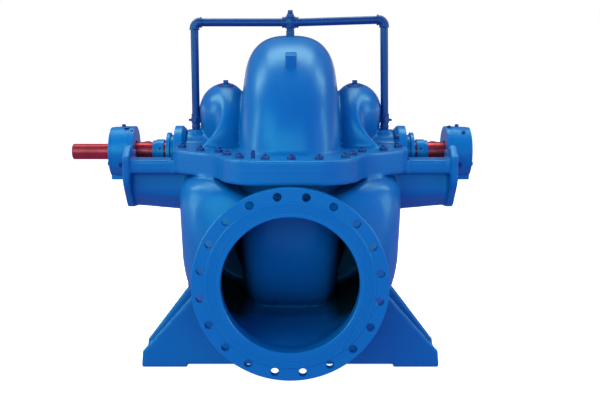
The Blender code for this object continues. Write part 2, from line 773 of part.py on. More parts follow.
def add_seal(tag, side):
    """The stuffing box flange with its neck, the gland, and the collar that locks the shaft sleeve."""
    seal_flange = [
        (CASING_END + FACE_GAP, SEAL_BEVEL_RADIUS),
        (SEAL_BEVEL_END, SEAL_FLANGE_RADIUS),
        (SEAL_FLANGE_END, SEAL_FLANGE_RADIUS),
        (SEAL_FLANGE_END, SEAL_NECK_RADIUS),
        (SEAL_NECK_END - FACE_GAP, SEAL_NECK_RADIUS),
    ]
    gland = [(SEAL_NECK_END, GLAND_RADIUS), (GLAND_END, GLAND_RADIUS)]
    collar = [
        (COLLAR_START, COLLAR_RADIUS),
        (COLLAR_STEP, COLLAR_RADIUS),
        (COLLAR_STEP, COLLAR_NOSE_RADIUS),
        (COLLAR_END, COLLAR_NOSE_RADIUS),
    ]
    ring(f"seal_flange_{tag}", seal_flange, RUNNING_BORE, side, HOUSING_BLUE)
    ring(f"gland_{tag}", gland, RUNNING_BORE, side, HOUSING_BLUE)
    ring(f"shaft_collar_{tag}", collar, SHAFT_RADIUS + FACE_GAP, side, HOUSING_BLUE)


def sump(name, side, start, end):
    """The flat-bottomed lug below a bearing housing or its outer cover."""
    return box_along(name, side * start, side * end, SUMP_HALF_WIDTH, SUMP_BOTTOM, SUMP_TOP)


def add_bearing(tag, side):
    """The inner cover in its cradle and the bearing housing outside the end wall."""
    inner_cover = [(INNER_COVER_START, HOUSING_RADIUS), (HOUSING_START - FACE_GAP, HOUSING_RADIUS)]
    body = [(HOUSING_START, HOUSING_RADIUS), (HOUSING_END, HOUSING_NOSE_RADIUS)]
    ring(f"bearing_inner_cover_{tag}", inner_cover, INNER_COVER_BORE, side, HOUSING_BLUE)
    housing = ring(f"bearing_housing_{tag}", body, JOURNAL_RADIUS + FACE_GAP, side, HOUSING_BLUE)
    combine(housing, "UNION", sump(f"housing_sump_{tag}", side, HOUSING_START, HOUSING_END))


def add_outer_covers():
    """The drive end cover lets the shaft through, and the other one is closed."""
    start = HOUSING_END + FACE_GAP
    open_cover = [
        (start, OUTER_COVER_RADIUS),
        (OUTER_COVER_END, OUTER_COVER_RADIUS),
        (OUTER_COVER_END, COVER_BOSS_RADIUS),
        (COVER_BOSS_END, COVER_BOSS_RADIUS),
    ]
    closed_cover = [
        (COVER_BOSS_END, 0),
        (COVER_BOSS_END, END_CAP_RADIUS),
        (OUTER_COVER_END, END_CAP_ROOT_RADIUS),
        (OUTER_COVER_END, OUTER_COVER_RADIUS),
        (start, OUTER_COVER_RADIUS),
        (start, 0),
    ]
    left = ring("bearing_outer_cover_left", open_cover, COVER_BORE, -1, HOUSING_BLUE)
    right = turned("bearing_outer_cover_right", closed_cover, HOUSING_BLUE, closed=False)
    combine(left, "UNION", sump("cover_sump_left", -1, start, OUTER_COVER_END))
    combine(right, "UNION", sump("cover_sump_right", 1, start, OUTER_COVER_END))


def elbow_points(corner_x, corner_z, side):
    """A quarter bend from the level run into the riser, with a short straight at each end."""
    bend = ELBOW_REACH - ELBOW_LEAD
    points = [(corner_x - side * ELBOW_REACH, 0, corner_z)]
    for step in range(ELBOW_STEPS + 1):
        angle = math.pi / 2 * step / ELBOW_STEPS
        x = corner_x - side * bend * (1 - math.sin(angle))
        points.append((x, 0, corner_z - bend * (1 - math.cos(angle))))
    points.append((corner_x, 0, corner_z - ELBOW_REACH))
    return points


def fitting(name, bottom, top, radius, centre=(0, 0, 0), sides=FITTING_SIDES, top_radius=None):
    """An upright pipe fitting."""
    return cylinder(name, "Z", bottom, top, radius, centre, sides, PIPE_BLUE, top_radius)


def add_dome_fittings(centre_z):
    """The cross on the dome with its nipple below and the vent plug above."""
    cross = cylinder(
        "pipe_cross", "X", -CROSS_REACH, CROSS_REACH, CROSS_RADIUS, (0, 0, centre_z), BOSS_SIDES, PIPE_BLUE
    )
    upright = cylinder(
        "cross_upright", "Z", CROSS_BOTTOM, CROSS_TOP, CROSS_UPRIGHT_RADIUS, sides=BOSS_SIDES
    )
    combine(cross, "UNION", upright)
    dome_top = volute_radius(math.pi / 2) + FACE_GAP
    fitting("dome_nipple", dome_top, CROSS_BOTTOM - FACE_GAP, NIPPLE_RADIUS)
    fitting("vent_plug", CROSS_TOP + FACE_GAP, VENT_TOP, VENT_ROOT_RADIUS, top_radius=VENT_TOP_RADIUS)


def add_flush_line(tag, side, centre_z):
    """One half of the seal flush line: run, elbow, riser, union and nipple down to the seal barrel."""
    corner_x, corner_z = LEFT_ELBOW if tag == "left" else RIGHT_ELBOW
    run = [
        (side * (CROSS_REACH + PIPE_GAP), 0, centre_z),
        (side * (corner_x - ELBOW_REACH - PIPE_GAP), 0, corner_z),
    ]
    riser = [
        (side * corner_x, 0, corner_z - ELBOW_REACH - PIPE_GAP),
        (side * RISER_X, 0, UNION_TOP + PIPE_GAP),
    ]
    foot = (side * RISER_X, 0, 0)
    tube(f"flush_run_{tag}", run, PIPE_RADIUS, PIPE_BLUE)
    tube(f"flush_elbow_{tag}", elbow_points(side * corner_x, corner_z, side), ELBOW_RADIUS, PIPE_BLUE)
    tube(f"flush_riser_{tag}", riser, PIPE_RADIUS, PIPE_BLUE)
    fitting(f"flush_union_{tag}", UNION_BOTTOM, UNION_TOP, UNION_RADIUS, foot, HEXAGON_SIDES)
    fitting(f"flush_nipple_{tag}", FLUSH_BOSS_TOP + FACE_GAP, UNION_BOTTOM - FACE_GAP, NIPPLE_RADIUS, foot)


def add_hood_plug(tag, side):
    centre = (side * HOOD_PLUG_X, HOOD_PLUG_Y, 0)
    start = HOOD_SEAT[1] + FACE_GAP
    fitting(f"hood_plug_{tag}", start, HOOD_PLUG_TOP, HOOD_PLUG_RADIUS, centre, HEXAGON_SIDES)


def shade_round_pieces():
    for obj in PUMP.objects:
        if obj.type == "MESH":
            obj.data.shade_smooth()
            obj.data.set_sharp_from_angle(angle=math.radians(SMOOTH_ANGLE))


def build_pump():
    brackets = {}
    centre_z = (CROSS_BOTTOM + CROSS_TOP) / 2
    for tag, side in SIDES.items():
        brackets[tag] = bracket_shapes(side, tag)
        add_bracket(tag, side, brackets[tag])
        add_seal(tag, side)
        add_bearing(tag, side)
        add_flush_line(tag, side, centre_z)
        add_hood_plug(tag, side)
    add_upper_casing()
    add_casing_base(brackets)
    add_feet()
    add_shaft()
    add_outer_covers()
    add_dome_fittings(centre_z)
    shade_round_pieces()


build_pump()
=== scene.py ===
"""Looks of a horizontal double suction pump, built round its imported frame.

Every new piece is a surface worked out with numpy. It is drawn about the shaft axis at the middle
of the volute, X along the shaft, -Y towards the suction nozzle and +Z up, in metres, and the datum
carries it into the frame.
"""

import math

import bmesh
import bpy
import numpy as np
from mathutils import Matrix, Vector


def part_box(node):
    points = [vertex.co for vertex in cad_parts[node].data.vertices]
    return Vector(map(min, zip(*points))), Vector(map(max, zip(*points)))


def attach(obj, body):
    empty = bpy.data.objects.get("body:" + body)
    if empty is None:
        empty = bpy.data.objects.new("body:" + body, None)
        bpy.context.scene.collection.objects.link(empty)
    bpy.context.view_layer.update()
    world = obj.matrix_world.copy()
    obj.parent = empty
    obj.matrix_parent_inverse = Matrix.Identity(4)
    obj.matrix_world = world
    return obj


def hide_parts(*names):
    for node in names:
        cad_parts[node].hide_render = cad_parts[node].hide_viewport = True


bl_info = {
    "name": "Double Suction Pump",
    "version": (1, 0, 0),
    "blender": (4, 5, 0),
    "location": "3D View > Sidebar > Pump",
    "description": "Castings, bearings, seal piping, fasteners and paint of a split case pump",
    "category": "Add Mesh",
}

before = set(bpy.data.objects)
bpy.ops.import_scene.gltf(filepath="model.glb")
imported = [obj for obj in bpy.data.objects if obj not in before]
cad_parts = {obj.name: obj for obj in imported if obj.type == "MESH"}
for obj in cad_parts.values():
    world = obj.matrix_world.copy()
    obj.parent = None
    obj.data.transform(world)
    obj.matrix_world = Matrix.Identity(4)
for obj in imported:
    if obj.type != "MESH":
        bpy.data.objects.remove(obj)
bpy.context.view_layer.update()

# The datum, from the frame
SHAFT_LOW, SHAFT_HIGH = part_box("shaft")
CASE_LOW, CASE_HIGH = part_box("upper_casing")
DATUM = np.array([(CASE_LOW.x + CASE_HIGH.x) / 2, 0.0, (SHAFT_LOW.z + SHAFT_HIGH.z) / 2])
FLOOR = -DATUM[2]
SIDES = {"left": -1, "right": 1}

# Parting flange: its outline as x, y and corner radius from the front middle to the right end
FLANGE_TOP = 0.050
FLANGE_BOTTOM = -0.056
PARTING_DEPTH = 0.030
SEAM = 0.00015
FLANGE_CORNERS = (
    (0.262, -0.748, 0.200),
    (0.330, -0.512, 0.240),
    (0.549, -0.352, 0.110),
    (0.549, -0.200, 0.030),
    (0.512, -0.165, 0.010),
)

# Volute, as the rim's radius from front to back and its rounded crown
VOLUTE_FRONT = 0.537
VOLUTE_GROWTH = 0.063
VOLUTE_SAG = 0.210
VOLUTE_HALF_WIDTH = 0.235
CROWN_DEPTH = 0.267
CROWN_POWER = 2.7
LOWER_CROWN_POWER = 4.2
DOME_DRAFT = 0.045

# Suction hoods: the ridge runs outwards to a toe at the front and at the back
HOOD_RIDGE = 0.300
HOOD_TOP_SHIFT = 0.0145
HOOD_TOE_SHIFT = 0.130
HOOD_TOE_POWER = 12
HOOD_INNER = 0.215
HOOD_FRONT = 0.280
HOOD_RISE = 0.057
HOOD_CROWN = 0.130
HOOD_APRON = 0.025
CHAMBER_CENTRE = 0.207
CHAMBER_SIZE = (0.1305, 0.190, 0.130, 0.200)
SEAT = (0.3145, -0.040, 0.337)
SEAT_RADIUS = 0.036
SEAT_OFFSET = (0, -0.022, -0.004)
SEAT_LEAN = (0, -0.24, 0.971)

# Barrels and bosses of the upper casing
CASING_END = 0.512
BARREL_RADIUS = 0.100
RUNNING_BORE = 0.060
FLUSH_BOSS = (0.4625, 0.110, 0.046)
GAUGE_ROOT = (0.003, -0.307, 0.395)
GAUGE_TIP = (0.003, -0.334, 0.487)
GAUGE_SIZE = (0.0285, 0.0260)
GAUGE_EDGE = 0.004

# Suction body: sections along y, as half width, half height, centre height, power below the centre,
# power above it, how much wider the top is and how much more the lower half draws in
BODY_Y = np.array((-0.815, -0.710, -0.660, -0.600, -0.520, -0.400, -0.250, 0.150))
BODY_HALF_WIDTH = np.array((0.340, 0.344, 0.385, 0.440, 0.480, 0.496, 0.500, 0.500))
BODY_HALF_HEIGHT = np.array((0.340, 0.341, 0.350, 0.366, 0.373, 0.376, 0.375, 0.375))
BODY_CENTRE = np.array((-0.474, -0.474, -0.460, -0.440, -0.432, -0.429, -0.428, -0.428))
BODY_POWER = np.array((2.0, 2.0, 2.1, 2.3, 2.5, 2.7, 2.8, 2.8))
BODY_SHOULDER = np.array((2.0, 2.0, 2.4, 4.2, 7.0, 9.0, 9.0, 9.0))
BODY_TAPER = np.array((0.00, 0.00, 0.01, 0.02, 0.03, 0.03, 0.03, 0.03))
BODY_TUCK = np.array((0.00, 0.00, 0.01, 0.03, 0.05, 0.05, 0.05, 0.05))
BODY_FRONT = -0.775
BODY_CLOSING = (0.150, 0.445, 5.0, 2.2)
BODY_WALL = 0.045
CAVITY_BACK = 0.280
CAVITY_STEP = (-0.290, 0.014)
SADDLE_WALL = 0.026
SADDLE_HEIGHT = 0.412
SADDLE_RADIUS = 0.568
SADDLE_BACK = -0.430

# Painted shade in the passages, near black: a superellipse between the outer skin and their wall,
# where the painted shade starts and is full at its two ends, and how far from the middle it starts and is
# full
PASSAGE_SHADE_CENTRE = -0.430
PASSAGE_SHADE_HALF_WIDTH = 0.470
PASSAGE_SHADE_HALF_HEIGHT = 0.353
PASSAGE_SHADE_POWER = 2.7
PASSAGE_SHADE_FRONT = (-0.50, -0.36)
PASSAGE_SHADE_BACK = (0.24, 0.20)
PASSAGE_SHADE_ACROSS = (0.17, 0.235)

# Nozzles
NOZZLE_Z = -0.474
NOZZLE_FACE = 0.800
BOLT_HOLES = 20
SUCTION = {
    "bore": 0.295,
    "flange": 0.420,
    "thickness": 0.040,
    "raised": 0.3625,
    "circle": 0.385,
    "hole": 0.0185,
    "turn": 0.016,
}
DISCHARGE = {
    "bore": 0.250,
    "flange": 0.3575,
    "thickness": 0.038,
    "raised": 0.3045,
    "circle": 0.325,
    "hole": 0.0165,
    "turn": 0.0,
}
RAISED_FACE = 0.0035
GROOVES = (0.37, 0.53, 0.68, 0.82)
GROOVE = 0.0012
NECK = (0.100, 0.775, 0.286)
OUTLET_START = 0.380
SUCTION_SPLIT = -0.620
DISCHARGE_SPLIT = 0.560
SPLIT_TOP = -0.066
CUT_MARGIN = 0.02
ON_PLANE = 1e-5

# Feet: the outer faces in y, and where each leg's slope meets the casing
FOOT_FACE = 0.450
FOOT_ROOT = (0.380, -0.540)
FOOT_SHOULDER = -0.885
FOOT_SPLIT = -0.810
PAD_LENGTH = 0.213
PAD_HEIGHT = 0.012
LEG_POCKET = {"depth": 0.060, "plates": 0.028, "bottom": 0.062, "top": -0.585}
LEGS = {
    "front": {"back": 0.250, "half": 0.697, "face_top": (0.454, -0.621), "back_top": (0.4895, -0.617)},
    "rear": {"back": 0.280, "half": 0.600, "face_top": (0.400, -0.640), "back_top": (0.400, -0.640)},
}

# Bearing brackets
BRACKET_ROOT = 0.440
BRACKET_SPLIT = 0.5515
BRACKET_LOW = -0.500
WALL_INNER = 0.742
WALL_OUTER = 0.778
ARM_INNER = 0.150
ARM_FRONT = 0.335
ARM_BOTTOM = -0.060
MOUTH_HALF_WIDTH = 0.210
TROUGH_WALL = 0.022
TROUGH_DROP = 1.12
CRADLE_RADIUS = 0.1273
TROUGH_CORNERS = ((-0.272, -0.010, 0.0), (-0.272, -0.165, 0.028), (-0.195, -0.236, 0.028))
WALL_CORNERS = (
    (-0.235, 0.030, 0.0),
    (-0.270, 0.066, 0.0),
    (-0.350, 0.016, 0.0),
    (-0.345, -0.110, 0.080),
    (-0.235, -0.240, 0.060),
    (0.235, -0.240, 0.060),
    (0.345, -0.110, 0.080),
    (0.350, 0.016, 0.0),
)

# Studs of the parting flange on its front half, as x and y, and the dowel among them
STUDS = (
    (-0.509, -0.254),
    (-0.411, -0.371),
    (-0.323, -0.434),
    (-0.278, -0.535),
    (-0.218, -0.637),
    (-0.107, -0.680),
    (0.005, -0.680),
    (0.122, -0.680),
    (0.237, -0.621),
    (0.276, -0.535),
    (0.325, -0.427),
    (0.426, -0.371),
    (0.507, -0.254),
)
DOWEL = (-0.160, -0.637)

# Flush piping
PIPE_RADIUS = 0.0193
RISER_X = 0.467
ELBOWS = {"left": (0.467, 0.632), "right": (0.457, 0.644)}
ELBOW_RADIUS = 0.0235
ELBOW_REACH = 0.036
ELBOW_LEAD = 0.006
UNION_BOTTOM = 0.145
UNION_TOP = 0.172
CROSS_REACH = 0.040
CROSS_BOTTOM = 0.604
CROSS_TOP = 0.660
VENT_TOP = 0.691


def colour_property(name, description, default):
    """A colour that the user may change."""
    return bpy.props.FloatVectorProperty(
        name=name, description=description, subtype="COLOR", size=3, min=0.0, max=1.0, default=default
    )


class PumpPaint(bpy.types.PropertyGroup):
    """Colours and gloss of the finishes."""

    casing: colour_property("Casing", "Blue enamel of the castings", (0.0030, 0.162, 0.445))
    casing_deep: colour_property(
        "Casing, thick coat", "The same enamel where the coat is thick", (0.0060, 0.125, 0.390)
    )
    housing: colour_property(
        "Machined castings",
        "Blue enamel of the bearing housings, glands and nozzle flanges",
        (0.0030, 0.172, 0.460),
    )
    pipes: colour_property(
        "Piping and fasteners", "Darker blue of the pipes, plugs and nuts", (0.016, 0.042, 0.225)
    )
    shaft: colour_property("Shaft", "Red-brown rust preventing coat of the shaft", (0.700, 0.034, 0.045))
    # Painted shade: the near-black colour laid deep in the suction passages
    passage_shade_colour: colour_property(
        "Passage shade",
        "Painted shade deep in the suction passages",
        (0.006, 0.008, 0.016),
    )
    roughness: bpy.props.FloatProperty(
        name="Roughness", description="Roughness of the enamel", min=0.05, max=1.0, default=0.32
    )
    orange_peel: bpy.props.FloatProperty(
        name="Orange peel", description="Strength of the enamel's ripples", min=0.0, max=1.0, default=0.10
    )
    sand_grain: bpy.props.FloatProperty(
        name="Sand grain",
        description="Strength of the mould's grain under the enamel of the castings",
        min=0.0,
        max=1.0,
        default=0.16,
    )


class PumpCasting(bpy.types.PropertyGroup):
    """How the castings are worked out."""

    step: bpy.props.FloatProperty(
        name="Mesh step",
        description="Distance between the points of the castings' surfaces",
        unit="LENGTH",
        min=0.005,
        max=0.030,
        default=0.0085,
    )
    fine_step: bpy.props.FloatProperty(
        name="Fine mesh step",
        description="The same distance on the upper casting, which is seen from closer",
        unit="LENGTH",
        min=0.005,
        max=0.030,
        default=0.0068,
    )
    fillet: bpy.props.FloatProperty(
        name="Large fillets",
        description="Fillets between the main forms of a casting",
        unit="LENGTH",
        min=0.005,
        max=0.100,
        default=0.036,
    )
    small_fillet: bpy.props.FloatProperty(
        name="Small fillets",
        description="Fillets round bosses, arms and flanges",
        unit="LENGTH",
        min=0.002,
        max=0.050,
        default=0.015,
    )
    machined_edge: bpy.props.FloatProperty(
        name="Machined edges",
        description="Rounding of the edges of turned and drilled pieces",
        unit="LENGTH",
        min=0.0002,
        max=0.005,
        default=0.0016,
    )


class PumpFasteners(bpy.types.PropertyGroup):
    """Sizes of the nuts and studs on the parting flange."""

    width: bpy.props.FloatProperty(
        name="Across flats", description="Nut width", unit="LENGTH", min=0.01, max=0.08, default=0.034
    )
    height: bpy.props.FloatProperty(
        name="Nut height", description="Nut height", unit="LENGTH", min=0.005, max=0.05, default=0.014
    )
    stud: bpy.props.FloatProperty(
        name="Stud", description="Stud diameter", unit="LENGTH", min=0.005, max=0.05, default=0.019
    )
    rise: bpy.props.FloatProperty(
        name="Stud rise", description="Stud above its nut", unit="LENGTH", min=0.0, max=0.05, default=0.011
    )


class PumpStudio(bpy.types.PropertyGroup):
    """Camera, lights and floor."""

    lens: bpy.props.FloatProperty(
        name="Lens", description="Focal length in millimetres", subtype="DISTANCE_CAMERA", default=54.0
    )
    distance: bpy.props.FloatProperty(
        name="Distance", description="Camera in front of the shaft", unit="LENGTH", default=4.4645
    )
    height: bpy.props.FloatProperty(
        name="Height", description="Camera above the shaft", unit="LENGTH", default=0.5464
    )
    pitch: bpy.props.FloatProperty(
        name="Pitch", description="Camera looking down", subtype="ANGLE", default=math.radians(10.062)
    )
    shift: bpy.props.FloatProperty(name="Shift", description="Camera shift to the side", default=0.0162)
    key: bpy.props.FloatProperty(name="Key light", description="Watts", subtype="POWER", default=85.0)
    front: bpy.props.FloatProperty(name="Front light", description="Watts", subtype="POWER", default=120.0)
    fill: bpy.props.FloatProperty(name="Fill light", description="Watts", subtype="POWER", default=30.0)
    side: bpy.props.FloatProperty(name="Side lights", description="Watts", subtype="POWER", default=62.0)
    top: bpy.props.FloatProperty(name="Top light", description="Watts", subtype="POWER", default=110.0)
    sky: bpy.props.FloatProperty(name="Surroundings", description="Brightness near the floor", default=1.0)
    overhead: colour_property("Overhead", "Colour of the surroundings overhead", (0.16, 0.12, 0.30))
    below: colour_property("Below", "Colour that the floor throws back", (0.28, 0.20, 0.56))
    facing: colour_property("Front", "Colour of the surroundings behind the camera", (0.12, 0.19, 0.66))


def settings(name):
    return getattr(bpy.context.scene, name)


# Shader maths


class Wire:
    """A shader value that adds its own Math nodes when it is used in an expression."""

    def __init__(self, tree, socket):
        self.tree = tree
        self.socket = socket

    def maths(self, operation, *values):
        sockets = {0: self, **dict(enumerate(values, 1))}
        return node(self.tree, "ShaderNodeMath", {"operation": operation}, sockets)

    def __add__(self, other):
        return self.maths("ADD", other)

    def __mul__(self, other):
        return self.maths("MULTIPLY", other)

    def __sub__(self, other):
        return self.maths("SUBTRACT", other)

    def __rsub__(self, other):
        return (self * -1.0) + other

    __radd__ = __add__
    __rmul__ = __mul__


def node(tree, kind, choices, values, output=0):
    """Adds one node: its choices are set first, then the values or links of its sockets."""
    made = tree.nodes.new(kind)
    for name, choice in choices.items():
        if name == "stops":
            for stop, (place, colour) in zip(made.color_ramp.elements, choice):
                stop.position = place
                stop.color = colour
        else:
            setattr(made, name, choice)
    for key, value in values.items():
        if isinstance(value, Wire):
            tree.links.new(value.socket, made.inputs[key])
        else:
            made.inputs[key].default_value = value
    return Wire(tree, made.outputs[output])


def noise(tree, place, scale, detail=2.0, rough=0.5):
    """Noise from 0 to 1 whose patches are about one over scale metres wide."""
    values = {"Vector": place, "Scale": scale, "Detail": detail, "Roughness": rough}
    return node(tree, "ShaderNodeTexNoise", {}, values)


def spread(tree, value, low, high):
    """Stretches the range from low to high over 0 to 1."""
    values = {"Value": value, "From Min": low, "From Max": high}
    return node(tree, "ShaderNodeMapRange", {"clamp": True}, values)


def blend_colours(tree, mask, first, second):
    values = {"Factor": mask, "A": first, "B": second}
    made = tree.nodes.new("ShaderNodeMix")
    made.data_type = "RGBA"
    for key, index in (("Factor", 0), ("A", 6), ("B", 7)):
        value = values[key]
        if isinstance(value, Wire):
            tree.links.new(value.socket, made.inputs[index])
        else:
            made.inputs[index].default_value = value
    return Wire(tree, made.outputs[2])


def new_finish(name):
    """A material with its Principled shader and the object's own coordinates."""
    material = bpy.data.materials.new(name)
    material.use_nodes = True
    tree = material.node_tree
    shader = tree.nodes["Principled BSDF"]
    place = node(tree, "ShaderNodeTexCoord", {}, {}, output=3)
    return material, tree, shader, place


def opaque(colour):
    return (*colour, 1.0)


def plug_in(tree, shader, **links):
    for socket, value in links.items():
        tree.links.new(value.socket, shader.inputs[socket.replace("_", " ")])


def painted_passage_shade(tree, place):
    """1 where shade is painted, deep in the passages on both sides of the volute, and 0 elsewhere.

    The casing's outer skin lies outside a superellipse that runs between it and the passages' wall:
    (across / half width) ** power + (up / half height) ** power = 1.
    """
    across = (node(tree, "ShaderNodeSeparateXYZ", {}, {0: place}) - float(DATUM[0])).maths("ABSOLUTE")
    along = node(tree, "ShaderNodeSeparateXYZ", {}, {0: place}, output=1)
    up = node(tree, "ShaderNodeSeparateXYZ", {}, {0: place}, output=2) - float(DATUM[2] + PASSAGE_SHADE_CENTRE)
    wide = (across * (1 / PASSAGE_SHADE_HALF_WIDTH)).maths("POWER", PASSAGE_SHADE_POWER)
    high = (up.maths("ABSOLUTE") * (1 / PASSAGE_SHADE_HALF_HEIGHT)).maths("POWER", PASSAGE_SHADE_POWER)
    inside = spread(tree, wide + high, 1.0, 0.97)
    deep = spread(tree, along, *PASSAGE_SHADE_FRONT) * spread(tree, along, *PASSAGE_SHADE_BACK)
    return inside * deep * spread(tree, across, *PASSAGE_SHADE_ACROSS)


def enamel(name, colour, deep, grain, paint_passage_shade=False):
    """Satin enamel: two close blues drift into each other, over ripples of about 4 mm.

    Where grain is above zero, the pitted skin of the sand mould shows through, about 18 mm across.
    Where paint_passage_shade is true, shade is painted deep in the passages: the colour turns near black and
    the enamel rougher.
    """
    paint = settings("pump_paint")
    material, tree, shader, place = new_finish(name)
    drift = spread(tree, noise(tree, place, 2.6, 3.0), 0.35, 0.65)
    mottle = noise(tree, place, 24.0, 3.0, 0.6)
    colour_wire = blend_colours(tree, drift * 0.7 + mottle * 0.3, opaque(colour), opaque(deep))
    ripples = noise(tree, place, 230.0, 1.0)
    skin = noise(tree, place, 55.0, 3.0, 0.6)
    height = ripples * paint.orange_peel + skin * grain
    bump = node(tree, "ShaderNodeBump", {}, {"Strength": 0.5, "Distance": 0.0012, "Height": height})
    rough = spread(tree, mottle, 0.2, 0.8) * 0.10 + (paint.roughness - 0.05)
    # Painted shade: deep in the passages the colour turns near black and the enamel rougher
    if paint_passage_shade:
        passage_shade_mask = painted_passage_shade(tree, place)
        colour_wire = blend_colours(tree, passage_shade_mask, colour_wire, opaque(paint.passage_shade_colour))
        rough = rough + passage_shade_mask * 0.45
    plug_in(tree, shader, Base_Color=colour_wire, Roughness=rough, Normal=bump)
    shader.inputs["Specular IOR Level"].default_value = 0.48
    shader.inputs["Specular Tint"].default_value = (0.40, 1.0, 1.0, 1.0)
    material.diffuse_color = opaque(colour)
    return material


def shaft_coat(name, colour):
    """Turned steel under a clear red-brown coat: fine turning rings across X, and a patchy coat."""
    material, tree, shader, place = new_finish(name)
    factors = {0: place, 1: (1.0, 0.02, 0.02)}
    stretched = node(tree, "ShaderNodeVectorMath", {"operation": "MULTIPLY"}, factors)
    rings = noise(tree, stretched, 420.0, 2.0)
    patches = spread(tree, noise(tree, place, 14.0, 4.0, 0.6), 0.3, 0.7)
    dark = tuple(part * 0.62 for part in colour)
    colour_wire = blend_colours(tree, patches, opaque(colour), opaque(dark))
    bump = node(tree, "ShaderNodeBump", {}, {"Strength": 0.35, "Distance": 0.0004, "Height": rings})
    rough = patches * 0.12 + 0.24
    plug_in(tree, shader, Base_Color=colour_wire, Roughness=rough, Normal=bump)
    shader.inputs["Metallic"].default_value = 0.55
    material.diffuse_color = opaque(colour)
    return material


def finish_named(name):
    """The material of that name, made when it is first asked for."""
    known = bpy.data.materials.get(name)
    if known:
        return known
    paint = settings("pump_paint")
    # The casing's blue enamel, with painted shade deep in its passages
    if name == "casing_enamel_with_passage_shade":
        return enamel(name, paint.casing, paint.casing_deep, paint.sand_grain, paint_passage_shade=True)
    if name == "housing_enamel":
        return enamel(name, paint.housing, paint.casing, 0.02)
    if name == "pipe_enamel":
        return enamel(name, paint.pipes, tuple(part * 0.8 for part in paint.pipes), 0.03)
    return shaft_coat(name, paint.shaft)


# Meshes


def fill_mesh(mesh, placed, faces):
    """Puts arrays of points, and of faces with the same number of corners each, into a mesh."""
    mesh.vertices.add(len(placed))
    mesh.vertices.foreach_set("co", placed.astype(np.float32).ravel())
    mesh.loops.add(faces.size)
    mesh.loops.foreach_set("vertex_index", faces.astype(np.int32).ravel())
    mesh.polygons.add(len(faces))
    mesh.polygons.foreach_set("loop_start", np.arange(0, faces.size, faces.shape[1], dtype=np.int32))
    mesh.update(calc_edges=True)


def add_piece(name, points, faces, finish, body="casing", stands_for=(), sharp=35.0):
    """Puts points, given about the datum, and faces into a mesh object that rides on a body."""
    mesh = bpy.data.meshes.new(name)
    placed = np.asarray(points, float) + DATUM
    if isinstance(faces, np.ndarray):
        fill_mesh(mesh, placed, faces)
    else:
        mesh.from_pydata(placed.tolist(), [], faces)
    obj = bpy.data.objects.new(name, mesh)
    bpy.context.scene.collection.objects.link(obj)
    dress(obj, finish, body, stands_for, sharp)
    return obj


def dress(obj, finish, body="casing", stands_for=(), sharp=35.0):
    """Gives an object its finish and smooth shading, and lets it ride on its body."""
    obj.data.materials.clear()
    obj.data.materials.append(finish_named(finish))
    obj.data.shade_smooth()
    if sharp:
        obj.data.set_sharp_from_angle(angle=math.radians(sharp))
    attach(obj, body)
    if stands_for:
        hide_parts(*stands_for)


def weld(points, faces):
    """Joins points that share a place, and drops the corners that a face then has twice."""
    keys = np.round(points, 7)
    unique, index = np.unique(keys, axis=0, return_inverse=True)
    index = index.reshape(-1)
    welded = []
    for face in index[faces].tolist():
        corners = [corner for i, corner in enumerate(face) if corner != face[i - 1]]
        if len(set(corners)) > 2:
            welded.append(corners)
    return unique, welded


def sheet_faces(rows, columns, closed_rows=False, closed_columns=True):
    """Faces of a grid of points, row after row, closed in either direction if asked."""
    row = np.arange(rows if closed_rows else rows - 1)[:, None]
    column = np.arange(columns if closed_columns else columns - 1)[None, :]
    next_row = (row + 1) % rows
    next_column = (column + 1) % columns
    corners = (
        row * columns + column,
        row * columns + next_column,
        next_row * columns + next_column,
        next_row * columns + column,
    )
    return np.stack([np.broadcast_to(c, (len(row), column.size)).ravel() for c in corners], axis=1)


def facing(points, faces):
    """Turns a closed shell's faces outwards: the volume that they enclose has to be positive."""
    corners = points[faces]
    volume = np.einsum("ij,ij->i", corners[:, 0], np.cross(corners[:, 1], corners[:, 2])).sum()
    volume += np.einsum("ij,ij->i", corners[:, 0], np.cross(corners[:, 2], corners[:, 3])).sum()
    return faces if volume > 0 else faces[:, ::-1]


AXES = {"X": (0, 1, 2), "Y": (1, 2, 0), "Z": (2, 0, 1)}


def turned_surface(profile, axis="X", centre=(0, 0, 0), steps=96, closed=True):
    """A profile carried round an axis: the point at angle a is (along, radius cos a, radius sin a)."""
    along = np.array([p[0] for p in profile], float)[:, None]
    radius = np.array([p[1] for p in profile], float)[:, None]
    angle = (np.arange(steps) * 2 * np.pi / steps + np.pi / steps)[None, :]
    parts = (along + 0 * angle, radius * np.cos(angle), radius * np.sin(angle))
    points = np.empty((len(profile), steps, 3))
    for index, part in zip(AXES[axis], parts):
        points[:, :, index] = part
    points = points.reshape(-1, 3) + np.array(centre)
    faces = sheet_faces(len(profile), steps, closed_rows=closed)
    return points, facing(points, faces)


def add_turned(name, profile, finish, axis="X", centre=(0, 0, 0), steps=96, edge=True, **riding):
    """A turned piece: its profile is a closed ring, or ends on the axis, and its edges are rounded."""
    closed = profile[0][1] > 0
    points, faces = turned_surface(profile, axis, centre, steps, closed)
    points, faces = weld(points, faces)
    obj = add_piece(name, points, faces, finish, **riding)
    if edge:
        round_edges(obj, settings("pump_casting").machined_edge)
    return obj


def round_edges(obj, width, angle=32.0, segments=2):
    """Rounds every edge sharper than the angle, by the same width."""
    bevel = obj.modifiers.new("rounded_edges", "BEVEL")
    bevel.width = width
    bevel.segments = segments
    bevel.limit_method = "ANGLE"
    bevel.angle_limit = math.radians(angle)
    bevel.use_clamp_overlap = True


def mirrored(profile, side):
    """A profile along X for one side of the pump."""
    return [(side * along, radius) for along, radius in profile]


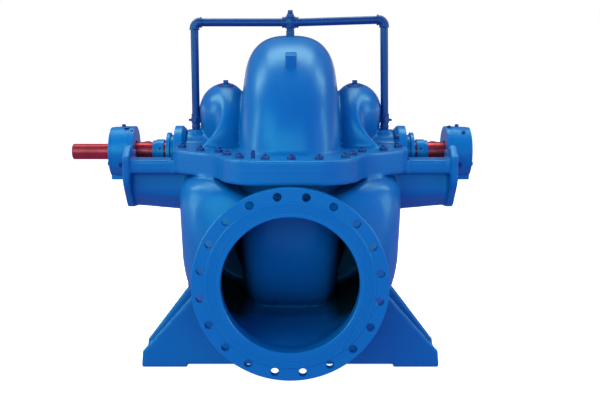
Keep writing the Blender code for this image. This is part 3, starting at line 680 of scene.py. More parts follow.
def swept_surface(path, radii, steps=24):
    """A circle carried along a path in the XZ plane: path + radius (cos a across + sin a along Y)."""
    path = np.asarray(path, float)
    radii = np.asarray(radii, float)
    tangent = np.gradient(path, axis=0)
    tangent /= np.linalg.norm(tangent, axis=1, keepdims=True)
    across = np.stack([-tangent[:, 2], 0 * tangent[:, 1], tangent[:, 0]], axis=1)
    beside = np.array([0.0, 1.0, 0.0])
    angle = np.arange(steps) * 2 * np.pi / steps
    circle = across[:, None, :] * np.cos(angle)[None, :, None] + beside * np.sin(angle)[None, :, None]
    points = path[:, None, :] + radii[:, None, None] * circle
    return points.reshape(-1, 3), sheet_faces(len(path), steps)


def add_swept(name, path, radii, finish, **riding):
    """A bar of changing radius along a path, closed by rings of no radius at its two ends."""
    path = np.concatenate([path[:1], path, path[-1:]])
    radii = np.concatenate([[0.0], radii, [0.0]])
    inner = np.asarray(path, float)
    inner[0] = inner[1] + (inner[1] - inner[2]) * 1e-6
    inner[-1] = inner[-2] + (inner[-2] - inner[-3]) * 1e-6
    points, faces = swept_surface(inner, radii)
    points, faces = weld(points, facing(points, faces))
    obj = add_piece(name, points, faces, finish, **riding)
    round_edges(obj, settings("pump_casting").machined_edge)
    return obj


# Castings, as distances from their surfaces


def lattice(low, high, step):
    """Open coordinate arrays over a box of space, on whole multiples of the step."""
    axes = [np.arange(math.floor(a / step) - 1, math.ceil(b / step) + 2) * step for a, b in zip(low, high)]
    return np.meshgrid(*axes, indexing="ij", sparse=True)


def smooth_union(first, second, fillet):
    """The nearer of two surfaces, with a fillet where they meet: a parabola across the corner."""
    share = np.clip(0.5 + 0.5 * (second - first) / fillet, 0.0, 1.0)
    return second * (1 - share) + first * share - fillet * share * (1 - share)


def smooth_cut(solid, hole, fillet):
    return -smooth_union(-solid, hole, fillet)


def even_out(field, step, floor=0.4):
    """Turns any field that is zero on a surface into a distance: its value over its slope."""
    slopes = np.gradient(field, step)
    return field / np.maximum(np.sqrt(sum(slope * slope for slope in slopes)), floor)


def rounded(corners, steps=6):
    """The outline through (x, y, radius) corners, each rounded by an arc of that radius."""
    outline = []
    for index, (x, y, radius) in enumerate(corners):
        if radius == 0:
            outline.append((x, y))
            continue
        before = corners[index - 1]
        after = corners[(index + 1) % len(corners)]
        to_before = math.atan2(before[1] - y, before[0] - x)
        to_after = math.atan2(after[1] - y, after[0] - x)
        opening = (to_after - to_before + math.pi) % (2 * math.pi) - math.pi
        middle = to_before + opening / 2
        reach = radius / math.sin(abs(opening) / 2)
        centre = (x + reach * math.cos(middle), y + reach * math.sin(middle))
        sweep = math.copysign(math.pi - abs(opening), opening)
        first = middle + math.pi + sweep / 2
        turn = first - sweep * np.arange(steps + 1) / steps
        outline += list(zip(centre[0] + radius * np.cos(turn), centre[1] + radius * np.sin(turn)))
    return np.array(outline)


def outline_distance(outline, u, v):
    """Distance in a plane to the nearest side of an outline, negative where a ray crosses it once."""
    nearest = np.full(np.broadcast(u, v).shape, np.inf)
    inside = np.zeros(nearest.shape, bool)
    for (au, av), (bu, bv) in zip(outline, np.roll(outline, -1, axis=0)):
        du, dv = bu - au, bv - av
        share = np.clip(((u - au) * du + (v - av) * dv) / (du * du + dv * dv), 0, 1)
        nearest = np.minimum(nearest, (u - au - share * du) ** 2 + (v - av - share * dv) ** 2)
        if dv:
            inside ^= ((v >= av) != (v >= bv)) & (u < au + (v - av) * du / dv)
    distance = np.sqrt(nearest)
    return np.where(inside, -distance, distance)


def between(value, low, high):
    """Distance from a slab between two planes."""
    return np.abs(value - (low + high) / 2) - (high - low) / 2


def round_bar(u, v, radius):
    return np.sqrt(u * u + v * v) - radius


def through(knots, values, at):
    """A smooth curve through knots that never overshoots: cubic pieces, whose slope at each knot is
    the harmonic mean of the slopes on its two sides, or none where they differ in sign."""
    secants = np.diff(values) / np.diff(knots)
    product = secants[:-1] * secants[1:]
    total = secants[:-1] + secants[1:]
    inner = np.where(product > 0, 2 * product / np.where(total == 0, 1, total), 0)
    slopes = np.concatenate([[0.0], inner, [0.0]])
    at = np.clip(at, knots[0], knots[-1])
    index = np.clip(np.searchsorted(knots, at) - 1, 0, len(knots) - 2)
    width = knots[index + 1] - knots[index]
    t = (at - knots[index]) / width
    curve = (2 * t**3 - 3 * t**2 + 1) * values[index] + (3 * t**2 - 2 * t**3) * values[index + 1]
    curve += (t**3 - 2 * t**2 + t) * width * slopes[index]
    curve += (t**3 - t**2) * width * slopes[index + 1]
    return curve


def flange_distance(x, y, z, low, high):
    """The parting flange between two heights."""
    front = [(-a, b, radius) for a, b, radius in reversed(FLANGE_CORNERS)] + list(FLANGE_CORNERS)
    back = [(-a, -b, radius) for a, b, radius in front]
    edge = outline_distance(rounded(front + back, 16), x, y)
    return np.maximum(edge, between(z, low, high))


def volute_distance(x, y, z, step):
    """A wheel round the shaft: its rim grows from front to back and swells below the shaft.

    Its section is half of a superellipse standing on straight sides.
    """
    radius = np.sqrt(y * y + z * z)
    front = -y / np.maximum(radius, step)
    up = z / np.maximum(radius, step)
    rim = VOLUTE_FRONT + VOLUTE_GROWTH * (1 - front) / 2 + VOLUTE_SAG * np.minimum(up, 0) ** 2
    across = np.abs(x) / (VOLUTE_HALF_WIDTH * (1 - DOME_DRAFT * np.clip(z / 0.4, 0, 1.5)))
    out = np.maximum(radius - (rim - CROWN_DEPTH), 0) / CROWN_DEPTH
    power = CROWN_POWER + (LOWER_CROWN_POWER - CROWN_POWER) * np.minimum(up, 0) ** 2
    field = (across**power + out**power) ** (1 / power) - 1
    return even_out(field, step, 1.5)


def hood_distance(x, y, z, step):
    """A chamber over the shaft, and an arch whose ridge runs outwards to a toe at front and back.

    The arch's section is a quarter ellipse on either side of the ridge, and its outer side gets
    steeper towards the toes. The chamber is an ellipsoid that draws in again towards the barrel.
    """
    radius = np.sqrt(y * y + z * z)
    level = np.abs(y) / np.maximum(radius, step)
    upright = np.abs(z) / np.maximum(radius, step)
    toe = level**HOOD_TOE_POWER
    ridge = HOOD_RIDGE + HOOD_TOP_SHIFT * upright**6 + HOOD_TOE_SHIFT * toe
    wide, deep, high, low = CHAMBER_SIZE
    outer = wide + (HOOD_APRON - wide) * level
    across = np.abs(x) - ridge
    across = across / np.where(across < 0, ridge - HOOD_INNER, outer)
    rim = HOOD_FRONT + HOOD_RISE * upright
    out = np.maximum(radius - (rim - HOOD_CROWN), 0) / HOOD_CROWN
    arch = even_out(np.sqrt(across**2 + out**2) - 1, step, 2.0)
    up = z - CHAMBER_CENTRE
    up = up / np.where(up < 0, low, high)
    aside = np.abs(x) - HOOD_RIDGE - HOOD_TOP_SHIFT
    aside = aside / np.where(aside < 0, HOOD_RIDGE + HOOD_TOP_SHIFT - HOOD_INNER, wide)
    chamber = even_out(np.sqrt(aside**2 + (y / deep) ** 2 + up**2) - 1, step, 2.0)
    return smooth_union(arch, chamber, settings("pump_casting").small_fillet)


def upper_distance(x, y, z, step):
    """The upper casting: flange, volute dome, suction hoods, seal barrels and bosses."""
    small = settings("pump_casting").small_fillet
    body = flange_distance(x, y, z, -PARTING_DEPTH, FLANGE_TOP)
    hoods = hood_distance(x, y, z, step)
    side = np.abs(x)
    barrel = np.maximum(round_bar(y, z, BARREL_RADIUS), side - CASING_END)
    boss_x, boss_top, boss_radius = FLUSH_BOSS
    boss = np.maximum(round_bar(side - boss_x, y, boss_radius), between(z, 0, boss_top))
    hoods = smooth_union(hoods, smooth_union(barrel, boss, small), small)
    hoods = smooth_union(hoods, volute_distance(x, y, z, step), small * 1.5)
    body = smooth_union(body, hoods, small * 1.3)
    bore = np.maximum(round_bar(y, z, RUNNING_BORE), BRACKET_ROOT - side)
    return np.maximum(body, -bore)


def suction_section(x, y, z, inset, closed):
    """Zero on the suction body's surface: a superellipse in each upright section, squarer above.

    Where it is closed, the sections shrink to nothing at the back as another superellipse does.
    """
    start, end, power, root = BODY_CLOSING
    share = np.clip((y - start) / (end - start), 0, 0.99) * closed
    closing = (1 - share**power) ** (1 / root)
    half_width = (through(BODY_Y, BODY_HALF_WIDTH, y) - inset) * closing
    half_height = (through(BODY_Y, BODY_HALF_HEIGHT, y) - inset) * closing
    up = (z - through(BODY_Y, BODY_CENTRE, y)) / half_height
    bend = np.where(up > 0, through(BODY_Y, BODY_SHOULDER, y), through(BODY_Y, BODY_POWER, y))
    widening = 1 + through(BODY_Y, BODY_TAPER, y) * np.clip(up, -1.5, 1.5)
    widening = widening + through(BODY_Y, BODY_TUCK, y) * np.clip(up, -1.5, 0)
    across = np.abs(x) / (half_width * widening)
    return (across**bend + np.abs(up) ** bend) ** (1 / bend) - 1


def suction_distance(x, y, z, inset, step):
    """Distance from the closed body, and never less than from the same body carried on backwards."""
    shut = even_out(suction_section(x, y, z, inset, 1), step, 1.0)
    endless = even_out(suction_section(x, y, z, inset, 0), step, 1.0)
    return np.maximum(np.maximum(shut, endless), y - BODY_CLOSING[1])


def leg_distance(x, y, z, sizes, sign):
    """A pair of legs: the outline in the XZ plane changes evenly from the outer face to the inner.

    Its sloping sides are hollowed between a front and a back plate.
    """
    outlines = []
    for slope_top in (sizes["face_top"], sizes["back_top"]):
        half = sizes["half"]
        outlines.append(
            (
                (-1.0, FLOOR + PAD_HEIGHT),
                (half - PAD_LENGTH, FLOOR + PAD_HEIGHT),
                (half - PAD_LENGTH, FLOOR),
                (half, FLOOR),
                (half - 0.007, FOOT_SHOULDER),
                slope_top,
                FOOT_ROOT,
                (-1.0, FOOT_ROOT[1]),
            )
        )
    face, back = (outline_distance(np.array(points), np.abs(x), z) for points in outlines)
    out = sign * y
    share = np.clip((out - sizes["back"]) / (FOOT_FACE - sizes["back"]), 0, 1)
    side = back + (face - back) * share
    plates = LEG_POCKET["plates"]
    pocket = np.maximum(-LEG_POCKET["depth"] - side, between(out, sizes["back"] + plates, FOOT_FACE - plates))
    pocket = np.maximum(pocket, between(z, FLOOR + LEG_POCKET["bottom"], LEG_POCKET["top"]))
    leg = np.maximum(side, between(out, sizes["back"], FOOT_FACE))
    return smooth_cut(leg, np.maximum(pocket, 0.3 - np.abs(x)), 0.010)


def bracket_distance(x, y, z):
    """Both bearing brackets: trough, arms and end wall, with the pocket and the cradle cut out."""
    small = settings("pump_casting").small_fillet
    side = np.abs(x)
    half = [(-a, b, radius) for a, b, radius in reversed(TROUGH_CORNERS)]
    outline = rounded(list(TROUGH_CORNERS) + half)
    deep = outline_distance(outline * np.array([1.0, TROUGH_DROP]), y, z)
    plain = outline_distance(outline, y, z)
    share = np.clip((side - BRACKET_ROOT) / (WALL_INNER - BRACKET_ROOT), 0, 1)
    trough = deep + (plain - deep) * share
    reach = between(side, BRACKET_ROOT, WALL_INNER + 0.010)
    outer = np.maximum(trough, reach)
    arms = np.maximum(between(np.abs(y), ARM_INNER, ARM_FRONT), between(z, ARM_BOTTOM, 0))
    outer = smooth_union(outer, np.maximum(arms, reach), small)
    wall = np.maximum(outline_distance(rounded(WALL_CORNERS), y, z), between(side, WALL_INNER, WALL_OUTER))
    inside = between(side, CASING_END, WALL_INNER)
    pocket = np.maximum(np.maximum(trough + TROUGH_WALL, z - ARM_BOTTOM), inside)
    mouth = np.maximum(np.maximum(np.abs(y) - MOUTH_HALF_WIDTH, -0.1 - z), inside)
    hollow = np.minimum(pocket, mouth)
    bracket = smooth_cut(smooth_union(outer, wall, small), hollow, small)
    cradle = np.maximum(round_bar(y, z, CRADLE_RADIUS), CASING_END - side)
    return np.maximum(bracket, -cradle)


def lower_distance(x, y, z, step):
    """The lower casting: suction body round the volute, parting flange, neck, brackets and legs."""
    casting = settings("pump_casting")
    large, small = casting.fillet, casting.small_fillet
    side = np.abs(x)
    saddle = np.maximum(round_bar(x, z - SADDLE_HEIGHT, SADDLE_RADIUS), y - SADDLE_BACK)
    body = suction_distance(x, y, z, 0.0, step)
    body = smooth_cut(np.maximum(body, BODY_FRONT - y), saddle, small * 2)
    cavity = suction_distance(x, y, z, BODY_WALL, step)
    step_start, step_depth = CAVITY_STEP
    wider = np.maximum(cavity - step_depth, step_start - y)
    cavity = np.maximum(smooth_union(cavity, wider, 0.008), y - CAVITY_BACK)
    cavity = smooth_cut(cavity, saddle - SADDLE_WALL, small * 2)
    body = smooth_union(body, flange_distance(x, y, z, FLANGE_BOTTOM, PARTING_DEPTH), small)
    for tag, sign in (("front", -1), ("rear", 1)):
        body = smooth_union(body, leg_distance(x, y, z, LEGS[tag], sign), small)
    body = smooth_union(body, bracket_distance(x, y, z), small)
    neck_start, neck_end, neck_radius = NECK
    neck = np.maximum(round_bar(x, z - NOZZLE_Z, neck_radius), between(y, neck_start, neck_end))
    barrel = np.maximum(round_bar(y, z, BARREL_RADIUS), side - CASING_END)
    volute = np.maximum(volute_distance(x, y, z, step), z - PARTING_DEPTH)
    body = smooth_union(np.maximum(body, -cavity), volute, small * 1.5)
    body = smooth_union(body, neck, large)
    body = smooth_union(body, np.maximum(barrel, z - PARTING_DEPTH), small)
    bore = np.maximum(round_bar(y, z, RUNNING_BORE), BRACKET_ROOT - side)
    outlet = np.maximum(round_bar(x, z - NOZZLE_Z, DISCHARGE["bore"]), OUTLET_START - y)
    return np.maximum(np.maximum(body, -bore), -outlet)


def surface_of(field, origin, step):
    """The zero surface of a distance field on a lattice.

    Each cell that the surface passes through gets one point, at the mean of the places where the
    field changes sign along the cell's edges. Each such edge gets one face, between its four cells.
    """
    cells = np.array(field.shape) - 1
    cell_ids = []
    crossings = []
    for axis in range(3):
        near = np.take(field, np.arange(cells[axis]), axis=axis)
        far = np.take(field, np.arange(1, cells[axis] + 1), axis=axis)
        crossed = (near < 0) != (far < 0)
        edge = np.argwhere(crossed)
        start, end = near[crossed], far[crossed]
        place = edge.astype(float)
        place[:, axis] += start / (start - end)
        second, third = (axis + 1) % 3, (axis + 2) % 3
        ring = []
        for back_second, back_third in ((0, 0), (1, 0), (1, 1), (0, 1)):
            cell = edge.copy()
            cell[:, second] -= back_second
            cell[:, third] -= back_third
            ring.append((cell[:, 0] * cells[1] + cell[:, 1]) * cells[2] + cell[:, 2])
        quads = np.stack(ring, axis=1)
        quads[start >= 0] = quads[start >= 0][:, ::-1]
        cell_ids.append(quads)
        crossings.append(place)
    quads = np.concatenate(cell_ids)
    places = np.repeat(np.concatenate(crossings), 4, axis=0)
    used, index = np.unique(quads.ravel(), return_inverse=True)
    index = index.reshape(-1)
    count = np.bincount(index)
    points = np.stack([np.bincount(index, places[:, axis]) / count for axis in range(3)], axis=1)
    return points * step + origin, index.reshape(-1, 4)


def cast(distance, low, high, step):
    """Points and faces of a casting within a box of space."""
    x, y, z = lattice(low, high, step)
    origin = np.array([x.ravel()[0], y.ravel()[0], z.ravel()[0]])
    return surface_of(distance(x, y, z, step), origin, step)


def by_index(item):
    return item.index


def number_again(bm):
    """Brings the indices up to date after a cut."""
    for items in (bm.verts, bm.edges, bm.faces):
        items.index_update()


def with_borders(faces):
    """Faces with their edges and corners, in an order that is the same each run."""
    edges = {edge for face in faces for edge in face.edges}
    verts = {vert for face in faces for vert in face.verts}
    return faces + sorted(edges, key=by_index) + sorted(verts, key=by_index)


def close_cut(bm, rim, away):
    """Fills a flat rim with faces that look the way that the cut part went."""
    for edge in rim:
        edge.smooth = False
    cap = bmesh.ops.triangle_fill(bm, use_beauty=True, use_dissolve=False, edges=rim, normal=away)
    for face in cap["geom"]:
        if isinstance(face, bmesh.types.BMFace) and face.normal.dot(away) < 0:
            face.normal_flip()


def take_nozzle(bm, split, top):
    """Takes a nozzle off a closed casting: what lies beyond y = split and below z = top.

    Where the casting goes on above the level cut, the two cuts meet in an edge of their own.
    """
    sign = math.copysign(1, split)
    planes = ((1, split, (0, sign, 0)), (2, top + DATUM[2], (0, 0, -1)))
    for axis, place, normal in planes:
        near = [face for face in bm.faces if any(sign * (v.co.y - split) > -CUT_MARGIN for v in face.verts)]
        near = [face for face in near if any(v.co.z - DATUM[2] - top < CUT_MARGIN for v in face.verts)]
        centre = [0.0, 0.0, 0.0]
        centre[axis] = place
        bmesh.ops.bisect_plane(bm, geom=with_borders(near), plane_co=centre, plane_no=normal)
        number_again(bm)
    middles = [(face, face.calc_center_median()) for face in bm.faces]
    gone = [face for face, at in middles if sign * (at.y - split) > 0 and at.z - DATUM[2] < top]
    bmesh.ops.delete(bm, geom=gone, context="FACES")
    rim = [edge for edge in bm.edges if len(edge.link_faces) == 1]
    on_both = {vert for edge in rim for vert in edge.verts}
    for axis, place, normal in planes:
        on_both = {vert for vert in on_both if abs(vert.co[axis] - place) < ON_PLANE}
    corners = sorted(on_both, key=lambda vert: vert.co.x)
    shared = [bm.edges.new(pair) for pair in zip(corners[::2], corners[1::2])]
    for axis, place, normal in planes:
        flat = [edge for edge in rim if all(abs(vert.co[axis] - place) < ON_PLANE for vert in edge.verts)]
        if flat:
            close_cut(bm, flat + shared, normal)
    number_again(bm)


def parted(name, points, faces, cuts, finish, stands_for, nozzles=()):
    """A casting's part between flat cuts, without the nozzles that are named.

    Each cut is a point on its plane, the direction of what goes, and the two heights between which
    it reaches.
    """
    bm = bmesh.new()
    mesh = bpy.data.meshes.new(name)
    fill_mesh(mesh, points + DATUM, faces)
    bm.from_mesh(mesh)
    for split in nozzles:
        take_nozzle(bm, split, SPLIT_TOP)
    for place, away, low, high in cuts:
        reached = [face for face in bm.faces if low < face.calc_center_median().z - DATUM[2] < high]
        centre = np.array(place) + DATUM
        geom = with_borders(reached)
        cut = bmesh.ops.bisect_plane(bm, geom=geom, plane_co=centre, plane_no=away, clear_outer=True)
        close_cut(bm, [part for part in cut["geom_cut"] if isinstance(part, bmesh.types.BMEdge)], away)
        number_again(bm)
    loose = [vert for vert in bm.verts if not vert.link_faces]
    bmesh.ops.delete(bm, geom=loose, context="VERTS")
    bm.to_mesh(mesh)
    bm.free()
    obj = bpy.data.objects.new(name, mesh)
    bpy.context.scene.collection.objects.link(obj)
    dress(obj, finish, stands_for=stands_for, sharp=0)
    for polygon in mesh.polygons:
        polygon.use_smooth = True
    return obj


ANYWHERE = (-2.0, 2.0)


class PUMP_OT_upper_casing(bpy.types.Operator):
    """Casts the upper casing over the frame's node."""

    bl_idname = "pump.upper_casing"
    bl_label = "Upper casing"

    def execute(self, context):
        step = settings("pump_casting").fine_step
        points, faces = cast(upper_distance, (-0.60, -0.80, 0.0), (0.60, 0.80, 0.62), step)
        cuts = [((0, 0, SEAM), (0, 0, -1), *ANYWHERE)]
        parted("upper_casting", points, faces, cuts, "casing_enamel_with_passage_shade", ("upper_casing",))
        return {"FINISHED"}


class PUMP_OT_lower_casing(bpy.types.Operator):
    """Casts the lower casing with its brackets and feet, and parts them as the frame does."""

    bl_idname = "pump.lower_casing"
    bl_label = "Lower casing"

    def execute(self, context):
        step = settings("pump_casting").step
        points, faces = cast(lower_distance, (-0.80, -0.80, FLOOR - step), (0.80, 0.80, 0.10), step)
        high = (BRACKET_LOW, ANYWHERE[1])
        middle = [
            ((0, 0, -SEAM), (0, 0, 1), *ANYWHERE),
            ((-BRACKET_SPLIT, 0, 0), (-1, 0, 0), *high),
            ((BRACKET_SPLIT, 0, 0), (1, 0, 0), *high),
            ((0, 0, FOOT_SPLIT), (0, 0, -1), *ANYWHERE),
        ]
        for tag, sign, split in (("front", -1, SUCTION_SPLIT), ("rear", 1, DISCHARGE_SPLIT)):
            cuts = middle + [((0, 0, 0), (0, -sign, 0), *ANYWHERE)]
            part = f"lower_casting_{tag}"
            parted(part, points, faces, cuts, "casing_enamel_with_passage_shade", ("lower_casing",), nozzles=(split,))
            cuts = [
                ((0, 0, FOOT_SPLIT), (0, 0, 1), *ANYWHERE),
                ((0, 0, 0), (0, -sign, 0), *ANYWHERE),
                ((0, -sign * SUCTION_SPLIT, 0), (0, sign, 0), *ANYWHERE),
            ]
            parted(f"foot_{tag}_casting", points, faces, cuts, "casing_enamel_with_passage_shade", (f"foot_{tag}",))
        for name, split in (("suction_nozzle", SUCTION_SPLIT), ("discharge_nozzle", DISCHARGE_SPLIT)):
            away = (0, -math.copysign(1, split), 0)
            cuts = [((0, split, 0), away, *ANYWHERE), ((0, 0, SPLIT_TOP), (0, 0, 1), *ANYWHERE)]
            parted(f"{name}_casting", points, faces, cuts, "casing_enamel_with_passage_shade", (name,))
        for tag, side in SIDES.items():
            cuts = [
                ((side * BRACKET_SPLIT, 0, 0), (-side, 0, 0), *ANYWHERE),
                ((0, 0, BRACKET_LOW), (0, 0, -1), *ANYWHERE),
            ]
            bracket = f"bearing_bracket_{tag}"
            parted(f"{bracket}_casting", points, faces, cuts, "casing_enamel_with_passage_shade", (bracket,))
        return {"FINISHED"}


def drilled(obj, cutter_points, cutter_faces, sharp=30.0):
    """Cuts a closed shell out of an object for good, and shades what is left."""
    mesh = bpy.data.meshes.new("drill")
    mesh.from_pydata((cutter_points + DATUM).tolist(), [], cutter_faces)
    drill = bpy.data.objects.new("drill", mesh)
    bpy.context.scene.collection.objects.link(drill)
    cut = obj.modifiers.new("holes", "BOOLEAN")
    cut.operation = "DIFFERENCE"
    cut.solver = "EXACT"
    cut.object = drill
    graph = bpy.context.evaluated_depsgraph_get()
    result = bpy.data.meshes.new_from_object(obj.evaluated_get(graph))
    obj.modifiers.clear()
    obj.data = result
    bpy.data.objects.remove(drill, do_unlink=True)
    obj.data.shade_smooth()
    obj.data.set_sharp_from_angle(angle=math.radians(sharp))


def flange_profile(sizes, sign):
    """A nozzle flange from its bore outwards: raised face with grooves, rim, back and hub."""
    face = NOZZLE_FACE
    step = face - RAISED_FACE
    back = face - sizes["thickness"]
    bore = sizes["bore"]
    raised = sizes["raised"]
    profile = [(back - 0.02, bore), (face - 0.004, bore), (face, bore + 0.004)]
    for share in GROOVES:
        middle = bore + (raised - bore) * share
        profile += [(face, middle - GROOVE), (face - GROOVE, middle), (face, middle + GROOVE)]
    profile += [(face, raised - 0.001), (step, raised + 0.002)]
    profile += [(step, sizes["flange"] - 0.003), (step - 0.003, sizes["flange"])]
    profile += [(back + 0.003, sizes["flange"]), (back, sizes["flange"] - 0.003)]
    profile += [(back, bore + 0.058), (back - 0.005, bore + 0.050), (back - 0.02, bore + 0.047)]
    return [(sign * along, radius) for along, radius in profile]


def hole_bars(sizes, sign, steps=24):
    """Bars for a ring of bolt holes: the first stands half a pitch from the top."""
    along = sign * np.array([NOZZLE_FACE - 0.09, NOZZLE_FACE - 0.09, NOZZLE_FACE + 0.02, NOZZLE_FACE + 0.02])
    radii = np.array([0.0, sizes["hole"], sizes["hole"], 0.0])
    bars = []
    faces = []
    count = 0
    for index in range(BOLT_HOLES):
        angle = 2 * math.pi * (index + 0.5) / BOLT_HOLES + sizes["turn"]
        centre = (sizes["circle"] * math.sin(angle), 0, NOZZLE_Z + sizes["circle"] * math.cos(angle))
        points, quads = turned_surface(list(zip(along, radii)), "Y", centre, steps, closed=False)
        points, welded = weld(points, quads)
        faces += [[corner + count for corner in face] for face in welded]
        count += len(points)
        bars.append(points)
    return np.concatenate(bars), faces


class PUMP_OT_nozzle_flanges(bpy.types.Operator):
    """Turns both nozzle flanges and drills their bolt holes."""

    bl_idname = "pump.nozzle_flanges"
    bl_label = "Nozzle flanges"

    def execute(self, context):
        for name, sizes, sign in (("suction_flange", SUCTION, -1), ("discharge_flange", DISCHARGE, 1)):
            profile = flange_profile(sizes, sign)
            obj = add_turned(name, profile, "housing_enamel", "Y", (0, 0, NOZZLE_Z), 160, edge=False)
            drilled(obj, *hole_bars(sizes, sign), sharp=25.0)
        return {"FINISHED"}


class PUMP_OT_shaft(bpy.types.Operator):
    """Turns the shaft and the two collars that lock its sleeves."""

    bl_idname = "pump.shaft"
    bl_label = "Shaft and collars"

    def execute(self, context):
        left, right = SHAFT_LOW.x - DATUM[0], SHAFT_HIGH.x - DATUM[0]
        profile = [
            (left, 0),
            (left, 0.035),
            (left + 0.004, 0.039),
            (-0.873, 0.039),
            (-0.873, 0.045),
            (-0.762, 0.045),
            (-0.762, 0.048),
            (-0.700, 0.048),
            (-0.698, 0.0465),
            (-0.690, 0.0465),
            (-0.688, 0.048),
            (0.762, 0.048),
            (0.762, 0.045),
            (right, 0.045),
            (right, 0),
        ]
        shaft = add_turned(
            "shaft_turned", profile, "shaft_coat", edge=False, body="rotor", stands_for=("shaft",)
        )
        low = np.array((-1.2, 0.030, -0.011))
        high = np.array((-0.962, 0.060, 0.011))
        drilled(shaft, *block(low, high))
        for tag, side in SIDES.items():
            collar = [
                (0.624, 0.0485),
                (0.681, 0.0485),
                (0.681, 0.0545),
                (0.6795, 0.056),
                (0.664, 0.056),
                (0.664, 0.0595),
                (0.6625, 0.061),
                (0.6255, 0.061),
                (0.624, 0.0595),
            ]
            name = f"shaft_collar_{tag}"
            obj = add_turned(
                f"{name}_turned",
                mirrored(collar, side),
                "housing_enamel",
                body="rotor",
                stands_for=(name,),
                edge=False,
            )
            drilled(obj, *radial_bar(side * 0.643, (-0.94, 0.34), 0.048, 0.075, 0.0055))
        return {"FINISHED"}


def block(low, high):
    """A box between two corners: its eight corners are the products of both ends along each axis."""
    corners = np.stack(np.meshgrid(*zip(low, high), indexing="ij"), axis=-1).reshape(-1, 3)
    faces = [[0, 1, 3, 2], [4, 6, 7, 5], [0, 4, 5, 1], [2, 3, 7, 6], [0, 2, 6, 4], [1, 5, 7, 3]]
    return corners, faces


def upright_from(direction):
    """A unit vector along a direction, and two more at right angles to it and to each other."""
    direction = np.array(direction, float)
    direction /= np.linalg.norm(direction)
    helper = np.array([0.0, 0.0, 1.0]) if abs(direction[2]) < 0.9 else np.array([1.0, 0.0, 0.0])
    first = np.cross(helper, direction)
    first /= np.linalg.norm(first)
    return direction, first, np.cross(direction, first)


def framed(profile, origin, direction, steps=24, closed=False):
    """A profile carried round any axis through the origin given."""
    direction, first, second = upright_from(direction)
    points, faces = turned_surface(profile, "Z", (0, 0, 0), steps, closed)
    placed = points[:, :1] * first + points[:, 1:2] * second + points[:, 2:] * direction
    placed = placed + np.array(origin)
    return placed, facing(placed, faces)


def radial_bar(x, direction, start, end, radius, steps=16):
    """A bar that stands off the shaft axis at x, in the direction (y, z) given."""
    profile = [(start, 0), (start, radius), (end, radius), (end, 0)]
    points, faces = framed(profile, (x, 0, 0), (0, *direction), steps)
    return weld(points, faces)


class PUMP_OT_seals(bpy.types.Operator):
    """Turns the stuffing box flanges with their necks, and the glands."""

    bl_idname = "pump.seals"
    bl_label = "Stuffing boxes and glands"

    def execute(self, context):
        for tag, side in SIDES.items():
            flange = [
                (0.5123, 0.060),
                (0.5917, 0.060),
                (0.5917, 0.083),
                (0.572, 0.083),
                (0.568, 0.087),
                (0.568, 0.129),
                (0.530, 0.129),
                (0.5123, 0.110),
            ]
            gland = [
                (0.592, 0.060),
                (0.6125, 0.060),
                (0.6125, 0.070),
                (0.610, 0.072),
                (0.610, 0.095),
                (0.592, 0.095),
            ]
            seal_name = f"seal_flange_{tag}"
            gland_name = f"gland_{tag}"
            add_turned(
                f"{seal_name}_turned", mirrored(flange, side), "housing_enamel", stands_for=(seal_name,)
            )
            add_turned(
                f"{gland_name}_turned", mirrored(gland, side), "housing_enamel", stands_for=(gland_name,)
            )
        return {"FINISHED"}


class PUMP_OT_bearings(bpy.types.Operator):
    """Turns the bearing housings and covers, with their sumps, screws and plugs."""

    bl_idname = "pump.bearings"
    bl_label = "Bearings"

    def execute(self, context):
        for tag, side in SIDES.items():
            self.turn_housing(tag, side)
            self.add_screws(tag, side)
        return {"FINISHED"}

    def turn_housing(self, tag, side):
        inner = [(0.765, 0.054), (0.7897, 0.054), (0.7897, 0.127), (0.765, 0.127)]
        housing = [(0.790, 0.0453), (0.8745, 0.0453), (0.8745, 0.123), (0.790, 0.127)]
        cover = [(0.8748, 0.0445), (0.896, 0.0445), (0.896, 0.058), (0.8865, 0.062)]
        cover += [(0.8865, 0.1215), (0.8748, 0.1215)]
        if side > 0:
            cover = [(0.8748, 0), (0.8748, 0.1215), (0.8865, 0.1215), (0.8865, 0.049)]
            cover += [(0.896, 0.044), (0.896, 0)]
        for part, profile in (("inner_cover", inner), ("housing", housing), ("outer_cover", cover)):
            name = f"bearing_{part}_{tag}"
            add_turned(f"{name}_turned", mirrored(profile, side), "housing_enamel", stands_for=(name,))
        sump = block(*sorted_corners((side * 0.7905, -0.055, -0.1335), (side * 0.886, 0.055, -0.090)))
        obj = add_piece(f"housing_sump_{tag}", *sump, "housing_enamel")
        round_edges(obj, 0.005, segments=3)

    def add_screws(self, tag, side):
        parts = []
        for turn in (90, 210, 330):
            y, z = 0.098 * math.cos(math.radians(turn)), 0.098 * math.sin(math.radians(turn))
            parts.append(hexagon_head((side * 0.8865, y, z), (side, 0, 0), 0.018, 0.008))
        parts.append(hexagon_head((side * 0.826, 0.0, 0.1245), (0, 0, 1), 0.017, 0.012))
        parts.append(hexagon_head((side * 0.826, 0.0, -0.1325), (0, 0, -1), 0.017, 0.002))
        add_joined(f"housing_screws_{tag}", parts, "pipe_enamel")


def sorted_corners(first, second):
    corners = np.sort(np.array([first, second], float), axis=0)
    return corners[0], corners[1]


